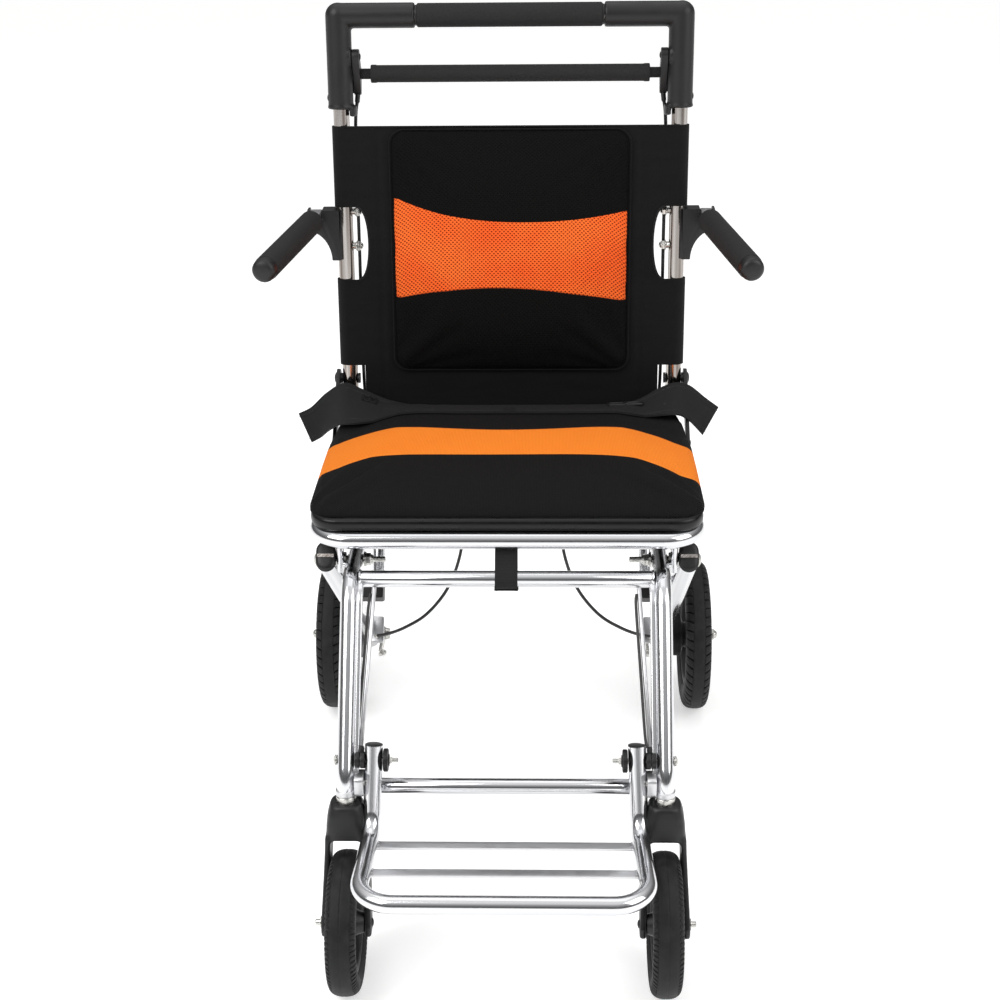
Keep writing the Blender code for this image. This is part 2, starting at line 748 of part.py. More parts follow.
def make_seat_bracket(side, sign, mats, bodies):
    """The pressed rail that carries the seat loop on the frame's side rail."""
    low = RAIL_Z + TUBE_R + GAP
    high = SEAT_Z - TUBE_R - GAP
    t = BRACKET_THICK
    inner = FRONT_X - BRACKET_FLANGE / 2
    step = inner + BRACKET_FLANGE
    out = SEAT_X + TUBE_R
    rise = out - BRACKET_FLANGE
    outline = [(inner, low), (step, low), (rise + t / 2, high - t), (out, high - t),
               (out, high), (rise - t / 2, high), (step - t, low + t), (inner, low + t)]
    outline = [(sign * x, z) for x, z in outline]
    bar = profile_bar(outline, FRONT_Y + BRACKET_FRONT, FRONT_Y + BRACKET_REAR)
    piece("seat_bracket_" + side, bar, mats["alloy"], bodies["chassis"])


def make_back_hinge(side, sign, mats, bodies):
    """The plate on the seat loop that the back post turns on, with its pin."""
    post_side = POST_X + TUBE_R + GAP
    low = post_side + FABRIC_THICK + GAP
    high = low + HINGE_PLATE_THICK
    eye_y = post_y(BACK_PIVOT_Z)
    foot_z = SEAT_Z - 0.0040
    foot_y = FRONT_Y + SEAT_REAR - SEAT_CORNER_R
    outline = [(foot_y - 0.018, foot_z + 0.006), (foot_y - 0.014, foot_z), (foot_y, foot_z)]
    for i in range(9):
        a = math.radians(-50 + 180 * i / 8)
        outline.append((eye_y + HINGE_EYE_R * math.cos(a),
                        BACK_PIVOT_Z + HINGE_EYE_R * math.sin(a)))
    ends = sorted((sign * low, sign * high))
    hinge = piece("back_hinge_" + side, plate(outline, *ends), mats["steel"],
                  bodies["chassis"])
    spot = Vector((0, eye_y, BACK_PIVOT_Z))
    inner = POST_X - TUBE_R - GAP
    pin = [(low + 0.0010, 0.0065), (post_side, 0.0065), (post_side, PIVOT_R), (inner, PIVOT_R),
           (inner, 0.0065), (inner - 0.0025, 0.0065)]
    join(hinge, turned([(sign * x, r) for x, r in pin], spot, 12))
    tube = Vector((sign * SEAT_X, 0, SEAT_Z))
    start = tube + Vector((0, FRONT_Y + SEAT_FRONT + SEAT_CORNER_R, 0))
    end = tube + Vector((0, FRONT_Y + SEAT_REAR, 0))
    cut(hinge, drill(start, end, TUBE_R + GAP, 16))


def make_seat(mats, bodies):
    """The vinyl-faced base and the crowned cushion on it."""
    front = FRONT_Y + SEAT_FRONT
    rear = FRONT_Y + BASE_REAR
    outline = rounded_outline(front, rear, 0.032,
                              lambda y: seat_half(y, BASE_HALF, BASE_REAR_HALF))
    base = piece("seat_base", slab(outline, BASE_Z, BASE_Z + BASE_THICK), mats["vinyl"],
                 bodies["chassis"])
    wide = STRAP_WIDE / 2 + 0.001
    tall = STRAP_THICK + 0.001
    deep = TUBE_R + STRAP_THICK + 0.002
    cut(base, block((-wide, front - deep, BASE_Z - 0.002), (wide, front + deep, BASE_Z + tall)))
    cushion = padded(front + 0.0040, rear, CUSHION_CORNER_R,
                     lambda y: seat_half(y, CUSHION_HALF, CUSHION_REAR_HALF),
                     CUSHION_EDGE, CUSHION_CROWN,
                     lambda x, y, h: Vector((x, y, CUSHION_Z + h)))
    piece("seat_cushion", cushion, mats["mesh"], bodies["chassis"])


def tangent_loop(a, b, radius_a, radius_b, steps=8):
    """The outline of a band pulled round two circles, as (y, z) points."""
    run = (b - a).normalized()
    side = Vector((-run.y, run.x))
    points = []
    for centre, radius, ahead in ((b, radius_b, run), (a, radius_a, -run)):
        turn = side if ahead is run else -side
        for i in range(steps + 1):
            t = math.pi * i / steps
            points.append(centre + turn * (-math.cos(t)) * radius + ahead * math.sin(t) * radius)
    return [(p.x, p.y) for p in points]


def make_pull_strap(mats, bodies):
    """The webbing loop round the seat's front tube and the upper crossbar."""
    tube = Vector((FRONT_Y + SEAT_FRONT, SEAT_Z))
    bar = Vector((KNEE_Y + UPPER_BAR_BACK, RAIL_Z - UPPER_BAR_DROP))
    near = GAP
    far = GAP + STRAP_THICK
    outer = tangent_loop(bar, tube, CROSSBAR_R + far, TUBE_R + far)
    inner = tangent_loop(bar, tube, CROSSBAR_R + near, TUBE_R + near)
    half = STRAP_WIDE / 2
    bm = bmesh.new()
    rings = []
    for outline, x in ((outer, -half), (outer, half), (inner, half), (inner, -half)):
        rings.append([bm.verts.new((x, y, z)) for y, z in outline])
    bridge_rings(bm, rings, closed=True)
    piece("pull_strap", bm, mats["cloth"], bodies["chassis"])


def cushion_top(x, y):
    """The height of the seat cushion's crown at a place."""
    front = FRONT_Y + SEAT_FRONT + 0.0040
    rear = FRONT_Y + BASE_REAR
    half = seat_half(y, CUSHION_HALF, CUSHION_REAR_HALF)
    edge = min(half - abs(x), y - front, rear - y)
    depth = (rear - front) / 2 - 0.012
    share = min(1.0, max(0.0, edge / depth))
    return CUSHION_Z + CUSHION_EDGE + (CUSHION_CROWN - CUSHION_EDGE) * cushion_rise(share)


def make_lap_belt(side, sign, mats, bodies):
    """One half of the lap belt: a folded webbing end that lies on the seat."""
    y = FRONT_Y + BELT_Y
    w = BELT_WIDE / 2
    path = []
    for i in range(5):
        x = BELT_END_X + (BELT_LIE_X - BELT_END_X) * i / 4
        crown = max(cushion_top(x, y + shift) for shift in (-w, -w / 2, 0, w / 2, w))
        path.append(Vector((sign * x, y, crown + BELT_THICK / 2 + 0.0008)))
    edge = path[-1].z
    path.append(Vector((sign * (BELT_LIE_X + BELT_OUT_X) / 2, y - 0.0060, edge - 0.0005)))
    path.append(Vector((sign * BELT_OUT_X, y - 0.0140, edge - 0.0080)))
    t = BELT_THICK / 2
    section = [(-w, -t), (w, -t), (w, t), (-w, t)]
    strap = swept(path, section, Vector((0, 1, 0)))
    piece("lap_belt_" + side, strap, mats["cloth"], bodies["chassis"])


def make_leg_rest(side, sign, mats, bodies):
    """The strut under the rail whose saddle holds the open rear leg."""
    x = sign * FRONT_X
    top = TUBE_R + GAP
    foot = on_leg(x, REST_ALONG, REAR_LEG_DEEP / 2 + 0.006)
    rise = (RAIL_Z - top - foot.z + 0.004) / LEG_UP.z
    strut = piece("leg_rest_" + side, rod(foot, foot + LEG_UP * rise, REST_STRUT_R),
                  mats["alloy"], bodies["chassis"])
    deep = REAR_LEG_DEEP / 2
    inner = FRONT_X - REST_STRUT_R
    outer = REAR_LEG_X + REAR_LEG_WIDE / 2 + GAP + REST_WALL
    bm = bmesh.new()
    rings = []
    for along in (REST_ALONG - REST_LONG / 2, REST_ALONG + REST_LONG / 2):
        ring = []
        for bx, above in ((inner, 0.004), (outer, 0.004), (outer, deep + 0.008),
                          (inner, deep + 0.008)):
            ring.append(bm.verts.new(on_leg(sign * bx, along, above)))
        rings.append(ring)
    bridge_rings(bm, rings)
    join(strut, bm)
    path = [on_leg(sign * REAR_LEG_X, REST_ALONG - 0.03), on_leg(sign * REAR_LEG_X,
                                                                REST_ALONG + 0.03)]
    clear = stadium(REAR_LEG_WIDE + 2 * GAP, REAR_LEG_DEEP + 2 * GAP)
    cut(strut, swept(path, clear, X_AXIS))
    tube = [Vector((x, FRONT_Y + 0.45, RAIL_Z)), Vector((x, FRONT_Y + 0.62, RAIL_Z))]
    cut(strut, swept(tube, bore(TUBE_R + GAP), X_AXIS))


def make_foot_stay(side, sign, mats, bodies):
    """The thin rod from the upper crossbar down to the footrest's pivot bolt."""
    bar = Vector((sign * STAY_TOP_X, KNEE_Y + UPPER_BAR_BACK, RAIL_Z - UPPER_BAR_DROP))
    bolt = Vector((sign * STAY_X, FOOT_PIVOT_Y, FOOT_PIVOT_Z))
    run = (bar - bolt).normalized()
    foot = bolt + run * (SPACER_R + 1.5 * GAP)
    top = bar - run * (CROSSBAR_R + 1.5 * GAP)
    piece("footrest_stay_" + side, rod(foot, top, STAY_R, 8), mats["alloy"],
          bodies["chassis"])


def make_brake_cable(side, sign, mats, bodies):
    """The sheathed brake cable, from the hand bar down to the rear brake."""
    start = BRAKE_TAIL_Z - CABLE_TAIL_DROP
    points = [(0.1825, post_y(start) + BRAKE_BAR_BACK, start)]
    for share in (0.12, 0.56, 1.0):
        z = start + (CABLE_LOW_Z - start) * share
        points.append((CABLE_X, post_y(z) + CABLE_BEHIND, z))
    y = FRONT_Y
    points += [(0.1840, y + 0.5420, 0.475), (0.1760, y + 0.5360, 0.448),
               (0.1600, y + 0.5300, 0.428), (0.1300, y + 0.5240, 0.411),
               (0.0960, y + 0.5180, 0.388), (0.0720, y + 0.5100, 0.346),
               (0.0640, y + 0.5030, 0.300), (0.0700, y + 0.4990, 0.262),
               (0.0860, y + 0.4980, 0.223), (0.1120, y + 0.4970, 0.190),
               (0.1400, y + 0.4990, 0.170), (0.1640, y + 0.5090, 0.155)]
    end = BRAKE_LUG_ALONG - BRAKE_LUG_LONG / 2 - 4 * GAP
    points.append(tuple(on_leg(0.1800, end - 0.0080, -CABLE_UNDER)))
    points.append(tuple(on_leg(0.1800, end, -CABLE_UNDER)))
    points = [(sign * x, yy, z) for x, yy, z in points]
    route = smooth_route(points, 2)
    piece("brake_cable_" + side, swept(route, circle(CABLE_R, 6)), mats["cord"],
          bodies["chassis"])


def make_rear_leg(side, sign, mats, bodies):
    """The oval rear leg, with the lug that stops the brake cable's sheath."""
    x = sign * REAR_LEG_X
    path = [on_leg(x, -REAR_LEG_AHEAD), on_leg(x, REAR_LEG_LONG + REAR_LEG_PAST)]
    leg = piece("rear_leg_" + side, swept(path, stadium(REAR_LEG_WIDE, REAR_LEG_DEEP), X_AXIS),
                mats["alloy"], bodies["rear_frame"])
    inner = REAR_LEG_X - REAR_LEG_WIDE / 2
    bm = bmesh.new()
    rings = []
    for along in (BRAKE_LUG_ALONG - BRAKE_LUG_LONG / 2, BRAKE_LUG_ALONG + BRAKE_LUG_LONG / 2):
        ring = []
        for bx, above in ((inner - BRAKE_LUG_OUT, -BRAKE_LUG_FALL),
                          (inner + 0.002, -BRAKE_LUG_FALL), (inner + 0.002, BRAKE_LUG_RISE),
                          (inner - BRAKE_LUG_OUT, BRAKE_LUG_RISE)):
            ring.append(bm.verts.new(on_leg(sign * bx, along, above)))
        rings.append(ring)
    bridge_rings(bm, rings)
    join(leg, bm)
    reach = X_AXIS * 0.015
    hinge = on_leg(x, 0)
    cut(leg, drill(hinge - reach, hinge + reach, PIVOT_R + RUN, 10))
    axle = on_leg(x, REAR_LEG_LONG)
    cut(leg, drill(axle - reach, axle + reach, AXLE_R + GAP, 10))
    wide = REAR_LEG_WIDE + 2 * PLUG_PROUD
    deep = REAR_LEG_DEEP + 2 * PLUG_PROUD
    start = -REAR_LEG_AHEAD - GAP
    rings = [(start, 0.0), (start - PLUG_LONG * 0.55, 0.0), (start - PLUG_LONG, 0.0030)]
    bm = bmesh.new()
    loops = []
    for along, shrink in rings:
        section = stadium(wide - 2 * shrink, deep - 2 * shrink)
        loops.append([bm.verts.new(on_leg(x + a, along, b)) for a, b in section])
    bridge_rings(bm, loops)
    piece("leg_plug_" + side, bm, mats["plastic"], bodies["rear_frame"])


def make_rear_crossbar(mats, bodies):
    """The tube that ties the two rear legs together."""
    end = REAR_LEG_X - REAR_LEG_WIDE / 2 - GAP
    start = on_leg(-end, REAR_BAR_ALONG, REAR_BAR_ABOVE)
    piece("rear_crossbar", rod(start, on_leg(end, REAR_BAR_ALONG, REAR_BAR_ABOVE), REAR_BAR_R),
          mats["alloy"], bodies["rear_frame"])


def make_rear_axle(side, sign, mats, bodies):
    """The fixed rear axle, with the brake's backing plate and the outer nut."""
    leg_in = REAR_LEG_X - REAR_LEG_WIDE / 2 - GAP
    leg_out = REAR_LEG_X + REAR_LEG_WIDE / 2 + GAP
    lever_out = leg_in - BRAKE_LEVER_GAP
    lever_in = lever_out - BRAKE_LEVER_THICK - 2 * GAP
    nut = REAR_X + REAR_HUB_OUT + RUN
    wide = AXLE_R + 0.0035
    profile = [(lever_in - NUT_TALL, wide - 0.0015), (lever_in, wide),
               (lever_in, AXLE_R), (lever_out, AXLE_R), (lever_out, wide), (leg_in, wide),
               (leg_in, AXLE_R), (leg_out, AXLE_R), (leg_out, BACKPLATE_R),
               (leg_out + BACKPLATE_THICK, BACKPLATE_R), (leg_out + BACKPLATE_THICK, AXLE_R),
               (nut, AXLE_R), (nut, wide), (nut + NUT_TALL, wide - 0.0005),
               (nut + NUT_TALL + AXLE_TIP, AXLE_R - 0.0010)]
    profile = [(sign * x, r) for x, r in profile]
    piece("rear_axle_" + side, turned(profile, REAR_AXLE, 16), mats["steel"],
          bodies["rear_frame"])


def make_brake_lever(side, sign, mats, bodies):
    """The small lever on the axle that the brake cable pulls."""
    high = REAR_LEG_X - REAR_LEG_WIDE / 2 - GAP - BRAKE_LEVER_GAP - GAP
    low = high - BRAKE_LEVER_THICK
    root = REAR_LEG_LONG
    tip = (root - BRAKE_LEVER_BACK, -BRAKE_LEVER_BELOW)
    run = Vector((tip[0] - root, tip[1], 0)).normalized()
    square = Vector((-run.y, run.x, 0))
    outline = []
    ends = (((root, 0), BRAKE_LEVER_ROOT_R, -1), (tip, BRAKE_LEVER_TIP_R, 1))
    for (along, above), radius, start in ends:
        for i in range(7):
            t = math.pi * i / 6
            spot = (Vector((along, above, 0)) + square * (start * math.cos(t)) * radius
                    + run * (start * math.sin(t)) * radius)
            place = on_leg(0, spot.x, spot.y)
            outline.append((place.y, place.z))
    ends = sorted((sign * low, sign * high))
    lever = piece("brake_lever_" + side, plate(outline, *ends), mats["steel"],
                  bodies["brake_lever_" + side])
    reach = X_AXIS * 0.02
    axle = on_leg(sign * (low + high) / 2, root)
    cut(lever, drill(axle - reach, axle + reach, AXLE_R + RUN, 12))


def make_rear_wheel(side, sign, mats, bodies):
    """A rear wheel: solid tyre, and a spoked centre with the brake drum."""
    body = bodies["rear_wheel_" + side]
    centre = Vector((sign * REAR_X, REAR_Y, REAR_R))
    tyre("rear_tyre_" + side, centre, REAR_R, REAR_RIM_R, REAR_HALF, mats["rubber"], body)
    drum_in = REAR_LEG_X + REAR_LEG_WIDE / 2 + GAP + BACKPLATE_THICK + RUN - REAR_X
    hub_out = REAR_HUB_OUT
    drum_out = drum_in + DRUM_DEEP
    mid = -SPOKE_THICK / 2
    ends = sorted((sign * drum_out, sign * hub_out))
    rim, web, hub = spoked(centre, REAR_HUB_R, REAR_RIM_R, REAR_HALF * 0.70, mid, *ends)
    wheel = piece("rear_wheel_centre_" + side, rim, mats["plastic"], body)
    join(wheel, web)
    join(wheel, hub)
    drum = [(sign * drum_in, DRUM_R), (sign * (drum_out + 0.002), DRUM_R),
            (sign * (drum_out + 0.006), REAR_HUB_R - 0.001)]
    join(wheel, turned(drum, centre, 24))
    reach = X_AXIS * 0.06
    cut(wheel, drill(centre - reach, centre + reach, AXLE_R + RUN, 14))


def make_front_wheel(side, sign, mats, bodies):
    """A caster wheel: solid tyre and spoked centre."""
    body = bodies["front_wheel_" + side]
    centre = Vector((sign * FRONT_X, FRONT_Y, FRONT_R))
    tyre("front_tyre_" + side, centre, FRONT_R, FRONT_RIM_R, FRONT_HALF, mats["rubber"], body)
    hub_half = FRONT_HALF + FRONT_HUB_PROUD
    rim, web, hub = spoked(centre, FRONT_HUB_R, FRONT_RIM_R, FRONT_HALF * 0.70,
                           -SPOKE_THICK / 2, -hub_half, hub_half)
    wheel = piece("front_wheel_centre_" + side, rim, mats["plastic"], body)
    join(wheel, web)
    join(wheel, hub)
    reach = X_AXIS * 0.04
    cut(wheel, drill(centre - reach, centre + reach, BOLT_R + RUN, 10))


def make_caster(side, sign, mats, bodies):
    """The swivelling fork with its stem, and the bolt that the wheel runs on."""
    body = bodies["caster_" + side]
    x = sign * FRONT_X
    inner = FRONT_HALF + FRONT_HUB_PROUD + GAP
    outer = inner + FORK_THICK
    top = SOCKET_Z - GAP
    boss = top - COLLAR_TALL
    bridge = boss - BOSS_TALL
    stem = Vector((x, STEM_Y, 0))
    profile = [(bridge - 0.005, BOSS_R), (boss - 0.003, BOSS_R), (boss, BOSS_R - 0.003),
               (boss, COLLAR_R), (top, COLLAR_R), (top, STEM_R), (top + STEM_TALL, STEM_R)]
    fork = piece("caster_fork_" + side, upright(profile, stem, 20), mats["plastic"], body)
    deep = BOSS_R + 0.0008
    foot = bridge - BRIDGE_TALL
    outline = [(STEM_Y + deep, bridge), (STEM_Y + deep, foot),
               (FRONT_Y + FORK_TIP_R + 0.004, FRONT_R + 0.014)]
    for i in range(7):
        a = math.radians(10 - 200 * i / 6)
        outline.append((FRONT_Y + FORK_TIP_R * math.cos(a), FRONT_R + FORK_TIP_R * math.sin(a)))
    outline += [(FRONT_Y - 0.0080, FRONT_R + 0.040), (STEM_Y - deep - 0.008, bridge - 0.006),
                (STEM_Y - deep, bridge)]
    bm = plate(outline, x - outer, x + outer)
    join(fork, bm)
    room = FRONT_R + 0.0030
    slot = []
    for i in range(13):
        a = math.radians(-60 + 180 * i / 12)
        slot.append((FRONT_Y + room * math.cos(a), FRONT_R + room * math.sin(a)))
    slot += [(FRONT_Y - 0.060, 0.02), (FRONT_Y + 0.02, 0.0)]
    cut(fork, plate(slot, x - inner, x + inner))
    axle = Vector((x, FRONT_Y, FRONT_R))
    reach = X_AXIS * 0.04
    cut(fork, drill(axle - reach, axle + reach, BOLT_R + GAP, 10))
    head = outer + GAP
    cap = head + HEAD_TALL
    bolt = [(-cap - TIP_LONG, TIP_R), (-cap, HEAD_R), (-head, HEAD_R), (-head, BOLT_R),
            (head, BOLT_R), (head, HEAD_R), (cap, HEAD_R), (cap + TIP_LONG, TIP_R)]
    piece("front_axle_" + side, turned(bolt, axle, 12), mats["steel"], body)


def make_push_tube(mats, bodies):
    """The one bent tube that makes both back posts and the push handle."""
    foot = on_post(POST_X, POST_FOOT_Z)
    top = on_post(POST_X, HANDLE_Z)
    points = [(-foot.x, foot.y, foot.z), (-top.x, top.y, top.z), tuple(top), tuple(foot)]
    path = rounded(points, (HANDLE_CORNER_R, HANDLE_CORNER_R), 5)
    tube = piece("push_tube", swept(path, circle(TUBE_R)), mats["alloy"], bodies["backrest"])
    reach = X_AXIS * 0.015
    for sign in (-1, 1):
        spot = on_post(sign * POST_X, BACK_PIVOT_Z)
        cut(tube, drill(spot - reach, spot + reach, PIVOT_R + RUN, 10))
        for z in ARM_BOLT_ZS:
            spot = on_post(sign * POST_X, z)
            cut(tube, drill(spot - reach, spot + reach, BOLT_R + GAP, 8))


def make_handle(mats, bodies):
    """The elbow covers and the middle grip on the push tube."""
    body = bodies["backrest"]
    corner = on_post(POST_X, HANDLE_Z)
    lean = (on_post(0, HANDLE_Z) - on_post(0, SLEEVE_FOOT_Z)).normalized()
    for side, sign in (("left", -1), ("right", 1)):
        x = sign * POST_X
        top = Vector((x, corner.y, corner.z))
        sleeve = [on_post(x, SLEEVE_FOOT_Z), top, top + lean * SLEEVE_R * 0.6,
                  top + lean * SLEEVE_R * 0.9]
        bm = bmesh.new()
        rings = []
        across = X_AXIS
        up = lean.cross(across)
        for spot, radius in zip(sleeve, (SLEEVE_R, SLEEVE_R, SLEEVE_R * 0.8, SLEEVE_R * 0.42)):
            rings.append([bm.verts.new(spot + across * a + up * b)
                          for a, b in circle(radius, 20)])
        bridge_rings(bm, rings)
        elbow = piece("handle_elbow_" + side, bm, mats["plastic"], body)
        flat = [(x, ELBOW_R), (sign * (ELBOW_END + 0.001), ELBOW_R),
                (sign * ELBOW_END, ELBOW_R - 0.001)]
        join(elbow, turned(flat, Vector((0, corner.y, corner.z)), 20))
        start = on_post(x, SLEEVE_FOOT_Z - 0.01)
        path = rounded([start, top, Vector((0, corner.y, corner.z))], (HANDLE_CORNER_R,), 5)
        cut(elbow, swept(path, bore(TUBE_R + GAP)))
        pivot = on_post(0, BRAKE_PIVOT_Z)
        inner = POST_X - SLEEVE_R
        pin = [(sign * (inner + 0.0030), PIVOT_R),
               (sign * (BRAKE_ARM_OUT - BRAKE_ARM_THICK), PIVOT_R)]
        join(elbow, turned(pin, pivot, 12))
    grip = [(-GRIP_HALF, GRIP_R - 0.001), (-GRIP_HALF + 0.001, GRIP_R),
            (GRIP_HALF - 0.001, GRIP_R), (GRIP_HALF, GRIP_R - 0.001),
            (GRIP_HALF, TUBE_R + GAP), (-GRIP_HALF, TUBE_R + GAP)]
    ring = turned(grip, Vector((0, corner.y, corner.z)), 20, closed=True)
    piece("handle_grip", ring, mats["foam"], body)


def make_upholstery(mats, bodies):
    """The nylon back: a sheet between two sleeves on the posts, with side cut-outs."""
    near = TUBE_R + GAP
    far = near + FABRIC_THICK
    high = SLING_TOP_Z
    outline = [(-SLING_FOOT_HALF, SLING_FOOT_Z), (SLING_FOOT_HALF, SLING_FOOT_Z),
               (SLING_FOOT_HALF, SLEEVE_CLOTH_Z), (POST_X, SLEEVE_CLOTH_Z), (POST_X, high),
               (-POST_X, high), (-POST_X, SLEEVE_CLOTH_Z), (-SLING_FOOT_HALF, SLEEVE_CLOTH_Z)]
    bm = bmesh.new()
    faces = (near - 0.001, far - 0.0004)
    rings = [[bm.verts.new(on_post(x, z, ahead)) for x, z in outline] for ahead in faces]
    bridge_rings(bm, rings)
    sheet = piece("back_upholstery", bm, mats["cloth"], bodies["backrest"])
    for sign in (-1, 1):
        x = sign * POST_X
        run = [on_post(x, SLEEVE_CLOTH_Z - HEM), on_post(x, high + HEM)]
        join(sheet, swept(run, circle(far, 16), X_AXIS))
    for sign in (-1, 1):
        x = sign * POST_X
        run = [on_post(x, SLEEVE_CLOTH_Z - 0.03), on_post(x, high + 0.02)]
        cut(sheet, swept(run, bore(near, 16), X_AXIS))
        mid = (CUTOUT_LOW_Z + CUTOUT_HIGH_Z) / 2
        tall = (CUTOUT_HIGH_Z - CUTOUT_LOW_Z) / 2
        root = POST_X - far - 0.001
        bm = bmesh.new()
        shape = [(POST_X + far + 0.01, mid - tall), (POST_X + far + 0.01, mid + tall)]
        for i in range(9):
            a = math.pi * (0.5 - i / 8)
            shape.append((root - (root - CUTOUT_IN) * abs(math.cos(a)) ** 0.7,
                          mid + tall * math.sin(a)))
        rings = [[bm.verts.new(on_post(sign * sx, z, ahead)) for sx, z in shape]
                 for ahead in (-0.03, 0.03)]
        bridge_rings(bm, rings)
        cut(sheet, bm)


def make_back_pad(mats, bodies):
    """The crowned pad sewn to the front of the back."""
    start = TUBE_R + GAP + FABRIC_THICK + GAP
    pad = padded(PAD_LOW_Z, PAD_HIGH_Z, PAD_CORNER_R, lambda z: PAD_HALF, PAD_EDGE, PAD_CROWN,
                 lambda x, z, h: on_post(x, z, start + h))
    piece("back_pad", pad, mats["mesh"], bodies["backrest"])


def make_arm_bracket(side, sign, mats, bodies):
    """The moulded bracket on the post, with two ears for the armrest and two bolts."""
    mid = post_y((ARM_BODY_LOW_Z + ARM_BODY_HIGH_Z) / 2)
    low = mid - ARM_BODY_DEEP / 2
    high = mid + ARM_BODY_DEEP / 2
    seat = ARM_PIVOT_Z - ARM_BAR_TALL / 2 - GAP
    ear_in = ARM_PIVOT_X - ARM_BAR_WIDE / 2 - GAP - ARM_EAR_THICK
    ear_out = ARM_PIVOT_X + ARM_BAR_WIDE / 2 + GAP + ARM_EAR_THICK
    inner = POST_X + 0.0035
    foot = POST_X + 0.0164
    hip = seat - 0.0110
    outline = [(inner, ARM_BODY_LOW_Z), (foot, ARM_BODY_LOW_Z)]
    for i in range(1, 4):
        a = math.pi / 2 * i / 4
        outline.append((foot + (ear_out - foot) * (1 - math.cos(a)),
                        ARM_BODY_LOW_Z + (hip - ARM_BODY_LOW_Z) * math.sin(a)))
    outline += [(ear_out, hip), (ear_out, seat),
               (ear_in + ARM_EAR_THICK, seat), (ear_in + ARM_EAR_THICK, ARM_BODY_HIGH_Z),
               (inner, ARM_BODY_HIGH_Z)]
    outline = [(sign * x, z) for x, z in outline]
    bracket = piece("arm_bracket_" + side, profile_bar(outline, low, high), mats["plastic"],
                    bodies["backrest"])
    ends = sorted((sign * ear_out, sign * (ear_out - ARM_EAR_THICK)))
    join(bracket, block((ends[0], low, seat - 0.002), (ends[1], high, ARM_BODY_HIGH_Z)))
    x = sign * POST_X
    run = [on_post(x, ARM_BODY_LOW_Z - 0.03), on_post(x, ARM_BODY_HIGH_Z + 0.03)]
    cut(bracket, swept(run, bore(TUBE_R + GAP, 16), X_AXIS))
    nut = POST_X - TUBE_R - GAP
    tip = nut - HEAD_TALL + 0.0010
    bolt = [(POST_X + TUBE_R + 0.0030, BOLT_R), (nut, BOLT_R), (nut, HEAD_R),
            (tip, HEAD_R), (tip - TIP_LONG + 0.0010, TIP_R)]
    bolt = [(sign * bx, r) for bx, r in bolt]
    for z in ARM_BOLT_ZS:
        join(bracket, turned(bolt, on_post(0, z), 10))
    pin = [(sign * (ear_in + 0.001), BOLT_R), (sign * (ear_out - 0.001), BOLT_R)]
    join(bracket, turned(pin, on_post(0, ARM_PIVOT_Z), 10))


def make_armrest(side, sign, mats, bodies):
    """The flip-up arm: a bar on the pivot, and the foam grip on its rod."""
    body = bodies["armrest_" + side]
    pivot = on_post(sign * ARM_PIVOT_X, ARM_PIVOT_Z)
    half = ARM_BAR_WIDE / 2
    tall = ARM_BAR_TALL / 2
    out = Vector((sign * math.sin(ARM_SPLAY), -math.cos(ARM_SPLAY) * math.cos(ARM_DROOP),
                  -math.sin(ARM_DROOP)))
    outline = [(pivot.y - ARM_GRIP_START, pivot.z + tall),
               (pivot.y - ARM_GRIP_START, pivot.z - tall)]
    for i in range(7):
        a = math.radians(-90 + 180 * i / 6)
        outline.append((pivot.y + tall * math.cos(a), pivot.z + tall * math.sin(a)))
    bar = piece("armrest_bar_" + side, plate(outline, pivot.x - half, pivot.x + half),
                mats["alloy"], body)
    root = Vector((pivot.x, pivot.y - ARM_GRIP_START + 0.006, pivot.z))
    join(bar, rod(root, root + out * ARM_ROD_LONG, ARM_ROD_R, 12))
    reach = X_AXIS * 0.02
    cut(bar, drill(pivot - reach, pivot + reach, BOLT_R + RUN, 10))
    start = root + out * 0.0105
    profile = [(0.0, ARM_GRIP_R - 0.0015), (0.0015, ARM_GRIP_R),
               (ARM_GRIP_LONG - 0.0040, ARM_GRIP_R), (ARM_GRIP_LONG, ARM_GRIP_R - 0.0035)]
    across = out.cross(Z_AXIS).normalized()
    up = across.cross(out)
    bm = bmesh.new()
    rings = []
    for far, radius in profile:
        rings.append([bm.verts.new(start + out * far + across * a + up * b)
                      for a, b in circle(radius, 20)])
    bridge_rings(bm, rings)
    grip = piece("armrest_grip_" + side, bm, mats["foam"], body)
    bore = root + out * (ARM_ROD_LONG + GAP)
    cut(grip, drill(root, bore, ARM_ROD_R + GAP, 12))


